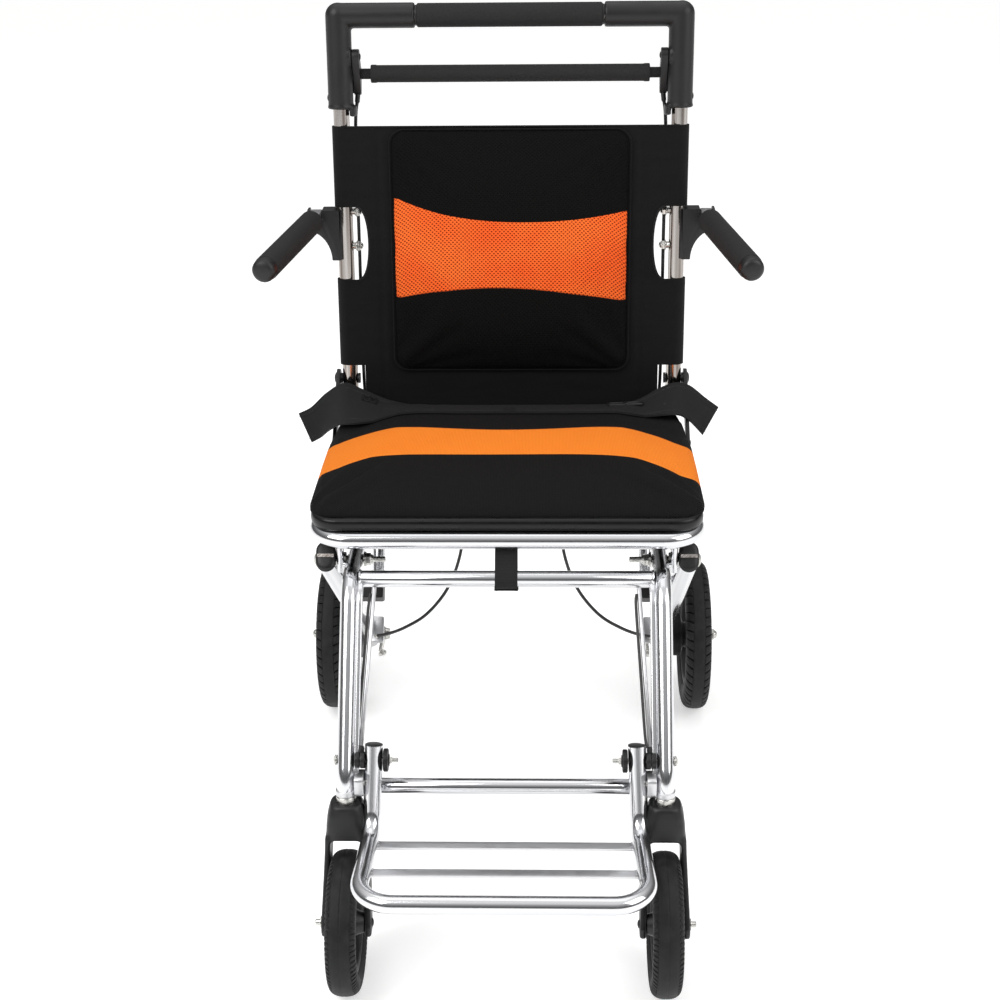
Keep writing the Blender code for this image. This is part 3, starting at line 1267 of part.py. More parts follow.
def make_brake_bar(mats, bodies):
    """The full-width brake bar between the posts, with its two pivot arms."""
    y = post_y(BRAKE_BAR_Z) + BRAKE_BAR_BACK
    inner = BRAKE_ARM_OUT - BRAKE_ARM_THICK
    bar = [(-inner - 0.001, BRAKE_NECK_R), (-BRAKE_BAR_HALF, BRAKE_NECK_R),
           (-BRAKE_BAR_HALF, BRAKE_BAR_R), (BRAKE_BAR_HALF, BRAKE_BAR_R),
           (BRAKE_BAR_HALF, BRAKE_NECK_R), (inner + 0.001, BRAKE_NECK_R)]
    obj = piece("brake_bar", turned(bar, Vector((0, y, BRAKE_BAR_Z)), 20), mats["foam"],
                bodies["brake_bar"])
    pivot_y = post_y(BRAKE_PIVOT_Z)
    outline = []
    for i in range(7):
        a = math.radians(180 - 180 * i / 6)
        outline.append((pivot_y + 0.0090 * math.cos(a), BRAKE_PIVOT_Z + 0.0090 * math.sin(a)))
    outline += [(y + 0.0100, BRAKE_BAR_Z + 0.004), (y + 0.0090, BRAKE_BAR_Z - 0.0080),
                (y + 0.0030, BRAKE_TAIL_Z), (y - 0.0040, BRAKE_TAIL_Z),
                (y - 0.0090, BRAKE_BAR_Z - 0.0090)]
    for sign in (-1, 1):
        ends = sorted((sign * inner, sign * BRAKE_ARM_OUT))
        join(obj, plate(outline, *ends))
        pivot = Vector((sign * (inner + 0.004), pivot_y, BRAKE_PIVOT_Z))
        reach = X_AXIS * 0.01
        cut(obj, drill(pivot - reach, pivot + reach, PIVOT_R + RUN, 12))


def build():
    clear_scene()
    mats = make_materials()
    bodies = make_bodies()
    make_crossbars(mats, bodies)
    make_footrest(mats, bodies)
    make_seat_frame(mats, bodies)
    make_seat(mats, bodies)
    make_pull_strap(mats, bodies)
    make_rear_crossbar(mats, bodies)
    make_push_tube(mats, bodies)
    make_handle(mats, bodies)
    make_upholstery(mats, bodies)
    make_back_pad(mats, bodies)
    make_brake_bar(mats, bodies)
    for side, sign in (("left", -1), ("right", 1)):
        make_front_leg(side, sign, mats, bodies)
        make_foot_pivot(side, sign, mats, bodies)
        make_leg_pivot(side, sign, mats, bodies)
        make_seat_bracket(side, sign, mats, bodies)
        make_back_hinge(side, sign, mats, bodies)
        make_lap_belt(side, sign, mats, bodies)
        make_leg_rest(side, sign, mats, bodies)
        make_foot_stay(side, sign, mats, bodies)
        make_brake_cable(side, sign, mats, bodies)
        make_rear_leg(side, sign, mats, bodies)
        make_rear_axle(side, sign, mats, bodies)
        make_brake_lever(side, sign, mats, bodies)
        make_rear_wheel(side, sign, mats, bodies)
        make_front_wheel(side, sign, mats, bodies)
        make_caster(side, sign, mats, bodies)
        make_arm_bracket(side, sign, mats, bodies)
        make_armrest(side, sign, mats, bodies)


build()
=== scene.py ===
"""Dresses the folding travel wheelchair: tubes, fasteners, wheels, fabric, foam and studio.

Metres, +Z up, in the frame of the packed model. The chair faces -Y. Left is -X.
"""
import math

import bmesh
import bpy
from bpy.props import FloatProperty, IntProperty, PointerProperty, StringProperty
from mathutils import Matrix, Vector
from mathutils import noise as rumple
from mathutils.bvhtree import BVHTree


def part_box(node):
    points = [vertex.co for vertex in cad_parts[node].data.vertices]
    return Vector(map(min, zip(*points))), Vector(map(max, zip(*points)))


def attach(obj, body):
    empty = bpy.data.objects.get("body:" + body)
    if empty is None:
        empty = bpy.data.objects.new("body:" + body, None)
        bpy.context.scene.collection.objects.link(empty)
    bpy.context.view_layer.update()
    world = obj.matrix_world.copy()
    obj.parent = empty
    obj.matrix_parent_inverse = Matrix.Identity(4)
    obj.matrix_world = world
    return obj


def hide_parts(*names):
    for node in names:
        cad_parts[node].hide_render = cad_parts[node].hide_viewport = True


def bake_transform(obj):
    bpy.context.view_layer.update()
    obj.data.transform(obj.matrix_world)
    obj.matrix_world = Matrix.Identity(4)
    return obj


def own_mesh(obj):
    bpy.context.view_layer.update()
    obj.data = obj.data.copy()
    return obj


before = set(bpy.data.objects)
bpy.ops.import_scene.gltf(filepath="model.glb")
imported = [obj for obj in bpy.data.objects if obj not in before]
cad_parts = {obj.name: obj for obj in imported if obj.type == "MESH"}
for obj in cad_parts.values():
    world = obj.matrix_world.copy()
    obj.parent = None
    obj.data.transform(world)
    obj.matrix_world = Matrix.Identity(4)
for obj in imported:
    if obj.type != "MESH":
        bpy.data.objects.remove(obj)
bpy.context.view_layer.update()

bl_info = {
    "name": "Folding Travel Wheelchair",
    "version": (1, 0, 0),
    "blender": (4, 5, 0),
    "location": "View3D > Sidebar > Chair",
    "description": "Builds a folding travel wheelchair piece by piece",
    "category": "Add Mesh",
}

# Places and sizes of the packed model
X_AXIS = Vector((1, 0, 0))
Y_AXIS = Vector((0, 1, 0))
Z_AXIS = Vector((0, 0, 1))
SIDES = (("left", -1), ("right", 1))
GAP = 0.0003
TUBE_R = 0.0095
CROSSBAR_R = 0.009
LOWER_BAR_R = 0.0085
FRONT_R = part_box("front_tyre_right")[1][2] / 2
REAR_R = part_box("rear_tyre_right")[1][2] / 2
FRONT_X = 0.168
RIB_X = 0.1568
STAY_TOP_X = 0.142
STAY_FOOT_X = 0.153
FRONT_Y = -0.30655
FRONT_HALF = 0.016
FRONT_RIM_R = 0.0535
REAR_X = 0.2465
REAR_Y = 0.30545
REAR_HALF = 0.017
REAR_RIM_R = 0.07
STEM_Y = -0.26155
SOCKET_Z = 0.2065
LEG_BEND_Z = 0.222
RAIL_Z = 0.397
RAIL_END = 0.25845
KNEE_Y = -0.144398
FOOT_PIVOT = Vector((0, -0.249165, 0.2405))
FOOT_X = 0.138
FOOT_FRONT_X = 0.147
FOOT_Z = 0.166
FOOT_TOP_Z = 0.2565
SEAT_X = 0.2067
SEAT_Z = 0.437
SEAT_FRONT = FRONT_Y + 0.184
SEAT_REAR = FRONT_Y + 0.505
HINGE_Z = 0.5
BASE_Z = 0.4468
CUSHION_Z = 0.4608
POST_X = 0.2016
RECLINE = math.radians(4.84)
HANDLE_Z = 0.9357
CLOTH_TOP = 0.8093
CLOTH_FOOT = 0.466
SLEEVE_FOOT = 0.519
CUT_LOW = 0.626
CUT_HIGH = 0.714
CUT_IN = 0.172
PAD_HALF = 0.144
PAD_LOW = 0.514
PAD_HIGH = 0.806
ARM_X = 0.236
ARM_Z = 0.7035
ARM_SPLAY = math.radians(9.5)
ARM_DROOP = math.radians(3.0)
BRAKE_PIVOT_Z = 0.889
BRAKE_BAR_Z = 0.8675
BRAKE_ARM_IN = 0.178
BRAKE_ARM_OUT = 0.1866
TAIL_Z = 0.843
REAR_LEG_X = 0.199
REAR_LEG_LONG = 0.489245
SHEATH_R = 0.0021
LEG_PIVOT = Vector((0, -0.08455, RAIL_Z))
LEG_ALONG = (Vector((0, REAR_Y, REAR_R)) - LEG_PIVOT).normalized()
LEG_UP = Vector((0, -LEG_ALONG.z, LEG_ALONG.y))
CROSS = Vector((0, KNEE_Y + 0.0125, RAIL_Z - 0.0013))
LOWER = Vector((0, STEM_Y + 0.0205, 0.2038))
# inner and outer faces of the level rails and of the rear legs, with the clearance
RAIL_IN, RAIL_OUT = FRONT_X - TUBE_R - GAP, FRONT_X + TUBE_R + GAP
LEG_IN, LEG_OUT = REAR_LEG_X - 0.0103, REAR_LEG_X + 0.0103

# Finishes and node trees by name, filled by prepare()
made = {}


class ChairSizes(bpy.types.PropertyGroup):
    """Sizes of the chair's fine detail."""
    tread_depth: FloatProperty(
        name="Tread depth", description="How far the rear tread blocks stand out",
        default=0.0034, min=0, max=0.004, unit="LENGTH")
    tread_count: IntProperty(
        name="Tread blocks", description="Blocks on each shoulder of a rear tyre",
        default=50, min=12, max=160)
    notch_depth: FloatProperty(
        name="Front notch depth", description="Depth of the notches in a front tyre's shoulders",
        default=0.0009, min=0, max=0.002, unit="LENGTH")
    notch_count: IntProperty(
        name="Front notches", description="Notches on each shoulder of a front tyre",
        default=75, min=12, max=200)
    stitch_length: FloatProperty(
        name="Stitch length", description="From one stitch to the next along a seam",
        default=0.0042, min=0.002, max=0.01, unit="LENGTH")
    puff: FloatProperty(
        name="Cushion puff", description="Pressure that fills the cushions",
        default=4.0, min=0, max=12)
    puff_limit: FloatProperty(
        name="Puff limit", description="How far filling may move a cushion's surface",
        default=0.006, min=0, max=0.03, unit="LENGTH")
    mesh_pitch: FloatProperty(
        name="Mesh pitch", description="From hole to hole across the air mesh",
        default=0.0049, min=0.001, max=0.01, unit="LENGTH")
    spokes: IntProperty(
        name="Spokes", description="Spokes in each wheel", default=5, min=3, max=12)


class ChairColours(bpy.types.PropertyGroup):
    """Colours of the chair, as sRGB hex."""
    alloy: StringProperty(
        name="Tube", description="Polished aluminium tube", default="#dbdbdd")
    steel: StringProperty(
        name="Steel", description="Zinc plated bolts and nuts", default="#c9c8c4")
    plastic: StringProperty(
        name="Plastic", description="Moulded nylon parts", default="#1a1a1b")
    foam: StringProperty(
        name="Foam", description="Foam grips", default="#292929")
    rubber: StringProperty(
        name="Rubber", description="Solid tyres", default="#131314")
    nylon: StringProperty(
        name="Nylon", description="Woven back", default="#0b0b0c")
    mesh: StringProperty(
        name="Black mesh", description="Air mesh of seat and pad", default="#080808")
    band: StringProperty(
        name="Back band", description="Band across the back pad", default="#ff7430")
    seat_band: StringProperty(
        name="Seat band", description="Band across the seat", default="#ff8c2e")
    floor: StringProperty(
        name="Floor", description="Studio floor", default="#f4f4f3")


# Colour and nodes

def colour(hex_text):
    """An sRGB hex colour as linear red, green, blue and alpha."""
    parts = [int(hex_text[i:i + 2], 16) / 255 for i in (1, 3, 5)]
    return [c / 12.92 if c <= 0.04045 else ((c + 0.055) / 1.055) ** 2.4 for c in parts] + [1]


def add(tree, kind, inputs=None, **settings):
    """One node, with its settings and its input values or links."""
    node = tree.nodes.new(kind)
    for key, value in settings.items():
        setattr(node, key, value)
    for key, value in (inputs or {}).items():
        if isinstance(value, bpy.types.NodeSocket):
            tree.links.new(value, node.inputs[key])
        else:
            node.inputs[key].default_value = value
    return node


def surface(name, base, roughness, metallic=0.0, ior=1.5, shine=0.5):
    """A material with its shader set to constants. Returns it, its tree and its shader."""
    mat = bpy.data.materials.new(name)
    mat.use_nodes = True
    tree = mat.node_tree
    shader = tree.nodes["Principled BSDF"]
    values = {"Base Color": colour(base), "Roughness": roughness, "Metallic": metallic,
              "IOR": ior, "Specular IOR Level": shine}
    for key, value in values.items():
        shader.inputs[key].default_value = value
    mat.diffuse_color = colour(base)
    return mat, tree, shader


def feed(shader, key, value):
    """Links a value to one of a shader's inputs."""
    shader.id_data.links.new(value, shader.inputs[key])


def scaled(tree, source, sizes):
    """Coordinates counted in pattern repeats of these sizes, in metres."""
    place = add(tree, "ShaderNodeTexCoord")
    return add(tree, "ShaderNodeMapping", {
        "Vector": place.outputs[source], "Scale": [1 / s for s in sizes]}).outputs["Vector"]


def noise(tree, vector, detail):
    return add(tree, "ShaderNodeTexNoise", {"Vector": vector, "Scale": 1.0,
                                            "Detail": detail}).outputs["Fac"]


def speckle(tree, size, detail=2.0):
    """Noise in space whose grains are size metres apart."""
    return noise(tree, scaled(tree, "Object", (size, size, size)), detail)


def cells(tree, size):
    """Distance from the nearest of many points that are size metres apart."""
    return add(tree, "ShaderNodeTexVoronoi", {
        "Vector": scaled(tree, "Object", (size, size, size)), "Scale": 1.0}).outputs["Distance"]


def between(tree, value, low, high, to_low=0.0, to_high=1.0, kind="LINEAR"):
    return add(tree, "ShaderNodeMapRange", {
        "Value": value, "From Min": low, "From Max": high, "To Min": to_low,
        "To Max": to_high}, interpolation_type=kind).outputs["Result"]


def mixed(tree, share, first, second):
    """Two colours, as hex or from a node, mixed by a share."""
    node = add(tree, "ShaderNodeMix", {"Factor": share}, data_type="RGBA")
    for key, value in (("A_Color", first), ("B_Color", second)):
        socket = next(s for s in node.inputs if s.identifier == key)
        if isinstance(value, str):
            socket.default_value = colour(value)
        else:
            tree.links.new(value, socket)
    return next(s for s in node.outputs if s.identifier == "Result_Color")


def tint(tree, shader, share, first, second):
    feed(shader, "Base Color", mixed(tree, share, first, second))


def roughen(tree, shader, value, low, high):
    feed(shader, "Roughness", between(tree, value, 0.3, 0.7, low, high))


def relief(tree, shader, height, deep, strength=1.0, before=None):
    """Raises the surface by a height pattern that is deep metres from 0 to 1."""
    inputs = {"Height": height, "Distance": deep, "Strength": strength}
    if before:
        inputs["Normal"] = before
    out = add(tree, "ShaderNodeBump", inputs).outputs["Normal"]
    feed(shader, "Normal", out)
    return out


def maths(tree, what, first, second=0.0, third=0.0):
    return add(tree, "ShaderNodeMath", {0: first, 1: second, 2: third},
               operation=what).outputs[0]


# Finishes

def drawn_aluminium(name, bright, dull):
    """Aluminium tube, drawn and polished: fine lines run along it and stretch reflections."""
    mat, tree, shader = surface(name, bright, 0.16, 1.0)
    lines = noise(tree, scaled(tree, "UV", (0.0016, 0.3, 1)), 3.0)
    broad = noise(tree, scaled(tree, "UV", (0.007, 0.6, 1)), 1.0)
    share = between(tree, broad, 0.38, 0.62)
    tint(tree, shader, share, dull, bright)
    roughen(tree, shader, lines, 0.08, 0.2)
    soft = relief(tree, shader, broad, 0.00008)
    relief(tree, shader, lines, 0.000012, before=soft)
    return mat


def cast_aluminium():
    """Die cast aluminium, tumbled: a soft satin skin with faint flow marks."""
    mat, tree, shader = surface("cast_aluminium", "#cfcfd1", 0.3, 1.0)
    grain = speckle(tree, 0.009)
    roughen(tree, shader, grain, 0.3, 0.4)
    relief(tree, shader, grain, 0.00004)
    return mat


def zinc_steel(hues):
    """Bright zinc plate on steel: slightly warm, with small blooms in the plating."""
    mat, tree, shader = surface("zinc_steel", hues.steel, 0.26, 1.0)
    bloom = speckle(tree, 0.003)
    share = between(tree, bloom, 0.35, 0.65)
    tint(tree, shader, share, "#b9b8b4", hues.steel)
    roughen(tree, shader, bloom, 0.23, 0.32)
    return mat


def moulded_nylon(hues):
    """Glass filled nylon from a spark eroded mould: an even fine grain with a dull shine."""
    mat, tree, shader = surface("moulded_nylon", hues.plastic, 0.42, ior=1.53, shine=0.35)
    grain, broad = speckle(tree, 0.0007), speckle(tree, 0.03)
    roughen(tree, shader, broad, 0.36, 0.48)
    relief(tree, shader, grain, 0.00006)
    return mat


def closed_cell_foam(hues):
    """Closed cell foam rubber: matt skin, pricked by cells under a millimetre wide."""
    mat, tree, shader = surface("closed_cell_foam", hues.foam, 0.78, ior=1.45, shine=0.25)
    pit_depth_and_shade = between(tree, cells(tree, 0.0011), 0.1, 0.55)
    # the pits are painted darker than the skin: painted shade in the pits, besides the bump that
    # sinks them
    tint(tree, shader, pit_depth_and_shade, "#1b1b1c", hues.foam)
    relief(tree, shader, pit_depth_and_shade, 0.00012)
    return mat


def tyre_rubber(hues):
    """Solid polyurethane tyre: grey black, matt, with a faint mould texture and scuffs."""
    mat, tree, shader = surface("tyre_rubber", hues.rubber, 0.62, shine=0.3)
    scuff, grain = speckle(tree, 0.012, 4.0), speckle(tree, 0.0012)
    share = between(tree, scuff, 0.4, 0.72)
    tint(tree, shader, share, hues.rubber, "#262626")
    roughen(tree, shader, scuff, 0.55, 0.74)
    relief(tree, shader, grain, 0.00008)
    return mat


def woven_nylon(hues):
    """Oxford nylon: a plain weave, drawn at 1.3 mm so that the threads still show."""
    mat, tree, shader = surface("woven_nylon", hues.nylon, 0.72, shine=0.16)
    shader.inputs["Sheen Weight"].default_value = 0.05
    place = scaled(tree, "Object", (0.0013 / math.pi, 1, 0.0013 / math.pi))
    parts = add(tree, "ShaderNodeSeparateXYZ", {0: place})
    across = maths(tree, "SINE", parts.outputs["X"])
    down = maths(tree, "SINE", parts.outputs["Z"])
    weave = between(tree, maths(tree, "MULTIPLY", across, down), -1.0, 1.0)
    fold_height = noise(tree, scaled(tree, "Object", (0.05, 0.05, 0.012)), 3.0)
    # the cloth is painted darker in the hollows of these broad folds: painted shade in the
    # creases
    share = between(tree, fold_height, 0.35, 0.65)
    tint(tree, shader, share, "#080809", hues.nylon)
    folds = relief(tree, shader, fold_height, 0.0006)
    relief(tree, shader, weave, 0.0001, 0.8, folds)
    return mat


def webbing():
    """Polyester webbing: chevron ribs 1.6 mm apart across the strap."""
    mat, tree, shader = surface("webbing", "#1b1b1c", 0.7, ior=1.45, shine=0.2)
    parts = add(tree, "ShaderNodeSeparateXYZ", {0: scaled(tree, "UV", (0.0025, 0.0016, 1))})
    zig = maths(tree, "PINGPONG", parts.outputs["X"], 0.5)
    ribs = maths(tree, "FRACT", maths(tree, "ADD", parts.outputs["Y"], zig))
    height = between(tree, maths(tree, "PINGPONG", ribs, 0.5), 0.0, 0.5)
    # the rib crests are painted lighter and the grooves darker: painted light and shade on the
    # ribs
    tint(tree, shader, height, "#131314", "#2b2b2c")
    relief(tree, shader, height, 0.0003)
    return mat


def thread():
    """Bonded polyester sewing thread: black, with a faint twist."""
    mat, tree, shader = surface("sewing_thread", "#1a1a1b", 0.6)
    twist = speckle(tree, 0.0006, 1.0)
    tint(tree, shader, twist, "#131314", "#222223")
    return mat


def vinyl():
    """Coated vinyl, calendered: nearly black with a wet shine over a soft leather grain."""
    mat, tree, shader = surface("coated_vinyl", "#080809", 0.3, shine=0.3)
    grain, broad = cells(tree, 0.0022), speckle(tree, 0.02)
    roughen(tree, shader, broad, 0.24, 0.36)
    relief(tree, shader, grain, 0.00004)
    return mat


def cable_sheath():
    """PVC sheath over a wound steel liner: smooth, black and a little shiny."""
    mat, tree, shader = surface("cable_sheath", "#121213", 0.34, ior=1.53)
    winding = noise(tree, scaled(tree, "UV", (1, 0.0025, 1)), 1.0)
    relief(tree, shader, winding, 0.00003)
    return mat


def air_mesh(name, dark, bright, up, pitch, rim, shape, reach, plain=9.0):
    """Knitted spacer mesh with staggered oval holes, and a dyed band whose edges curve.

    up is the axis that runs up the panel. rim gives the hole's edge as shares of the pitch, and
    how far it is squeezed. bright holds the band's two tones, the colour in its holes and the
    one in the dark mesh's holes. The band lies between two curves, each given by the terms of a
    polynomial in x that holds as far as reach. Past plain the cover is plain dark cloth.
    """
    mat, tree, shader = surface(name, dark, 0.85, shine=0.12)
    place = add(tree, "ShaderNodeTexCoord").outputs["Object"]
    parts = add(tree, "ShaderNodeSeparateXYZ", {0: place})
    across, height = parts.outputs["X"], parts.outputs[up]
    tall = pitch * 1.06
    round_edge = maths(tree, "ADD", parts.outputs["Y"], parts.outputs["Z"])
    holes = []
    for shift in (0.0, 0.5):
        ways = []
        for value, size in ((across, pitch), (round_edge, tall)):
            cell = maths(tree, "FRACT", maths(tree, "MULTIPLY_ADD", value, 1 / size,
                                              shift + 100))
            ways.append(maths(tree, "ABSOLUTE", maths(tree, "SUBTRACT", cell, 0.5)))
        wide = maths(tree, "POWER", ways[0], 2.0)
        high = maths(tree, "POWER", maths(tree, "MULTIPLY", ways[1], rim[2]), 2.0)
        holes.append(maths(tree, "SQRT", maths(tree, "ADD", wide, high)))
    yarn = between(tree, maths(tree, "MINIMUM", *holes), *rim[:2], kind="SMOOTHSTEP")
    held = maths(tree, "MAXIMUM", maths(tree, "MINIMUM", across, reach), -reach)
    inside = []
    for terms in shape:
        curve = maths(tree, "MULTIPLY_ADD", held, terms[-1], terms[-2])
        for term in terms[-3::-1]:
            curve = maths(tree, "MULTIPLY_ADD", curve, held, term)
        inside.append(maths(tree, "SUBTRACT", height, curve))
    low = between(tree, inside[0], -0.0004, 0.0004)
    high = between(tree, inside[1], -0.0004, 0.0004, 1.0, 0.0)
    band = maths(tree, "MULTIPLY", low, high)
    shade = between(tree, speckle(tree, 0.05), 0.35, 0.65)
    warm = mixed(tree, shade, bright[1], bright[0])
    # the holes take darker colours than the yarn round them: painted shade down in the holes
    lit = mixed(tree, yarn, bright[2], warm)
    black = mixed(tree, yarn, bright[3], dark)
    # past the height given last the mesh is painted near black: painted shade at the rear of the
    # seat
    black = mixed(tree, between(tree, height, plain, plain + 0.002), black, "#050505")
    tint(tree, shader, band, black, lit)
    seams = [between(tree, maths(tree, "ABSOLUTE", distance), 0.0, 0.0014)
             for distance in inside]
    seam = maths(tree, "MULTIPLY", *seams)
    before = relief(tree, shader, seam, 0.0007, 0.8)
    relief(tree, shader, yarn, 0.0005, 0.8, before)
    return mat


# Shells: points and faces with the name of their finish, joined into a piece by build()

def circle(radius, sides):
    turn = 2 * math.pi / sides
    return [(radius * math.cos(i * turn), radius * math.sin(i * turn)) for i in range(sides)]


def arc(a, b, radius, start, turn, steps):
    """Points round a centre (a, b), from start on through turn, both in degrees."""
    angles = [math.radians(start + turn * i / steps) for i in range(steps + 1)]
    return [(a + radius * math.cos(t), b + radius * math.sin(t)) for t in angles]


def stadium(wide, deep):
    """Points of an oval section with round ends."""
    middle = (deep - wide) / 2
    return arc(0, middle, wide / 2, 0, 180, 12) + arc(0, -middle, wide / 2, 180, 180, 12)


def box_section(wide, deep, soft, steps=3):
    """Points of an oblong section with rounded corners."""
    a, b = wide / 2 - soft, deep / 2 - soft
    return (arc(a, b, soft, 0, 90, steps) + arc(-a, b, soft, 90, 90, steps)
            + arc(-a, -b, soft, 180, 90, steps) + arc(a, -b, soft, 270, 90, steps))


def oblong(low_a, high_a, low_b, high_b, radius, steps):
    """Points of an oblong with round corners, placed by its four sides."""
    left, right, near, far = low_a + radius, high_a - radius, low_b + radius, high_b - radius
    return (arc(right, near, radius, -90, 90, steps) + arc(right, far, radius, 0, 90, steps)
            + arc(left, far, radius, 90, 90, steps) + arc(left, near, radius, 180, 90, steps))


def rounded(points, radii, steps):
    """A path through the points whose inner corners are arcs."""
    points = [Vector(p) for p in points]
    path = [points[0]]
    for before, corner, after, radius in zip(points, points[1:], points[2:], radii):
        into = (before - corner).normalized()
        out = (after - corner).normalized()
        half = into.angle(out) / 2
        centre = corner + (into + out).normalized() * radius / math.sin(half)
        start = corner + into * radius / math.tan(half) - centre
        end = corner + out * radius / math.tan(half) - centre
        whole = start.angle(end)
        for i in range(steps + 1):
            t = i / steps
            path.append(centre + start * (math.sin((1 - t) * whole) / math.sin(whole))
                        + end * (math.sin(t * whole) / math.sin(whole)))
    return path + [points[-1]]


def fillet(points, radius, steps, closed=True):
    """A flat outline whose corners are softened as far as its edges allow."""
    out = []
    count = len(points)
    for i, point in enumerate(points):
        corner = Vector(point)
        if not closed and i in (0, count - 1):
            out.append(corner)
            continue
        a = Vector(points[i - 1]) - corner
        b = Vector(points[(i + 1) % count]) - corner
        if a.angle(b) > 2.7:
            out.append(corner)
            continue
        cut = min(radius / math.tan(a.angle(b) / 2), a.length * 0.45, b.length * 0.45)
        start, end = corner + a.normalized() * cut, corner + b.normalized() * cut
        for k in range(steps + 1):
            t = k / steps
            out.append(start * (1 - t) ** 2 + corner * 2 * t * (1 - t) + end * t * t)
    return out


def loft(rings, mat, closed=False):
    """Rings of points joined by faces, with a UV map in metres round and along."""
    count = len(rings[0])
    points = [Vector(p) for ring in rings for p in ring]
    girth = [0.0]
    widest = max(rings, key=lambda r: (Vector(r[0]) - Vector(r[count // 2])).length)
    for i in range(count):
        girth.append(girth[-1] + (Vector(widest[(i + 1) % count]) - Vector(widest[i])).length)
    length = [0.0]
    last = len(rings) if closed else len(rings) - 1
    for k in range(last):
        here, there = rings[k], rings[(k + 1) % len(rings)]
        step = max((Vector(there[i]) - Vector(here[i])).length for i in (0, count // 2))
        length.append(length[-1] + step)
    faces, uvs = [], []
    for k in range(last):
        a, b = k * count, ((k + 1) % len(rings)) * count
        for i in range(count):
            j = (i + 1) % count
            faces.append((a + i, a + j, b + j, b + i))
            uvs.append(((girth[i], length[k]), (girth[i + 1], length[k]),
                        (girth[i + 1], length[k + 1]), (girth[i], length[k + 1])))
    if not closed:
        for start, turn in ((0, -1), ((len(rings) - 1) * count, 1)):
            face = tuple(start + i for i in range(count))[::turn]
            faces.append(face)
            uvs.append(tuple((girth[i - start], 0.0) for i in face))
    return {"v": points, "f": faces, "uv": uvs, "m": mat}


def sweep(path, section, mat, side=None, closed=False, soft=0.0):
    """A section carried along a path. soft rounds the rims of its two ends."""
    path = [Vector(p) for p in path]
    scales = [1.0] * len(path)
    if soft and not closed:
        reach = max(math.hypot(a, b) for a, b in section)
        first = (path[1] - path[0]).normalized()
        final = (path[-2] - path[-1]).normalized()
        head = [path[0] + first * soft * t for t in (0, 0.3, 1)]
        tail = [path[-1] + final * soft * t for t in (1, 0.3, 0)]
        path = head + path[1:-1] + tail
        rim = [1 - soft / reach * (1 - t) ** 2 for t in (0, 0.3)]
        scales = rim + [1.0] * (len(path) - 4) + rim[::-1]
    across = Vector(side) if side else None
    count = len(path)
    rings = []
    for i, point in enumerate(path):
        before = path[i - 1] if closed or i else path[0]
        after = path[(i + 1) % count] if closed or i < count - 1 else path[-1]
        run = (after - before).normalized()
        if across is None:
            across = run.orthogonal()
        across = (across - run * across.dot(run)).normalized()
        up = run.cross(across)
        rings.append([point + (across * a + up * b) * scales[i] for a, b in section])
    return loft(rings, mat, closed)


def rod(start, end, radius, mat, sides, soft=0.0004):
    return sweep([start, end], circle(radius, sides), mat, soft=soft)


def turned(profile, centre, axis, mat, steps, closed=False, soft=0.0004):
    """A profile of (along, radius) points turned about an axis through centre."""
    axis = Vector(axis).normalized()
    across = axis.orthogonal().normalized()
    if abs(axis.x) > 0.9:
        across = Z_AXIS.copy()
        across = (across - axis * across.dot(axis)).normalized()
    up = axis.cross(across)
    if soft:
        profile = fillet(profile, soft, 2, closed)
    rings = []
    for along, radius in profile:
        rings.append([Vector(centre) + axis * along + across * a + up * b
                      for a, b in circle(max(radius, 1e-5), steps)])
    return loft(rings, mat, closed)


def turned_across(sign, profile, centre, mat, steps, soft=0.0004):
    """A form turned about the chair's cross axis, its profile given for the right side."""
    return turned([(sign * along, radius) for along, radius in profile], centre, X_AXIS, mat,
                  steps, soft=soft)


def side_on(a, b, h):
    return Vector((h, a, b))


def end_on(a, b, h):
    return Vector((a, h, b))


def from_above(a, b, h):
    return Vector((a, b, h))


def prism(outline, place, low, high, mat, edge=0.0, steps=2):
    """An outline given thickness. place(a, b, h) puts a point in space; edge rounds the rims."""
    shell = loft([[place(a, b, h) for a, b in outline] for h in (low, high)], mat)
    return bevelled(shell, edge, steps) if edge else shell


def bmesh_of(points, faces):
    bm = bmesh.new()
    verts = [bm.verts.new(p) for p in points]
    for face in faces:
        bm.faces.new([verts[i] for i in face])
    return bm


def bevelled(shell, width, steps=2):
    """The shell with its sharp edges rounded."""
    bm = bmesh_of(shell["v"], shell["f"])
    bmesh.ops.recalc_face_normals(bm, faces=bm.faces)
    sharp = [e for e in bm.edges if e.calc_face_angle(0) > math.radians(40)]
    bmesh.ops.bevel(bm, geom=sharp, offset=width, segments=steps, profile=0.6,
                    affect="EDGES", clamp_overlap=True)
    return shell_of(bm, shell["m"])


def shell_of(bm, mat):
    bm.verts.index_update()
    shell = {"v": [v.co.copy() for v in bm.verts],
             "f": [tuple(v.index for v in f.verts) for f in bm.faces], "uv": None, "m": mat}
    bm.free()
    return shell


def box(low, high, mat, edge=0.0):
    corners = [(low[0], low[1]), (high[0], low[1]), (high[0], high[1]), (low[0], high[1])]
    return prism(corners, from_above, low[2], high[2], mat, edge)


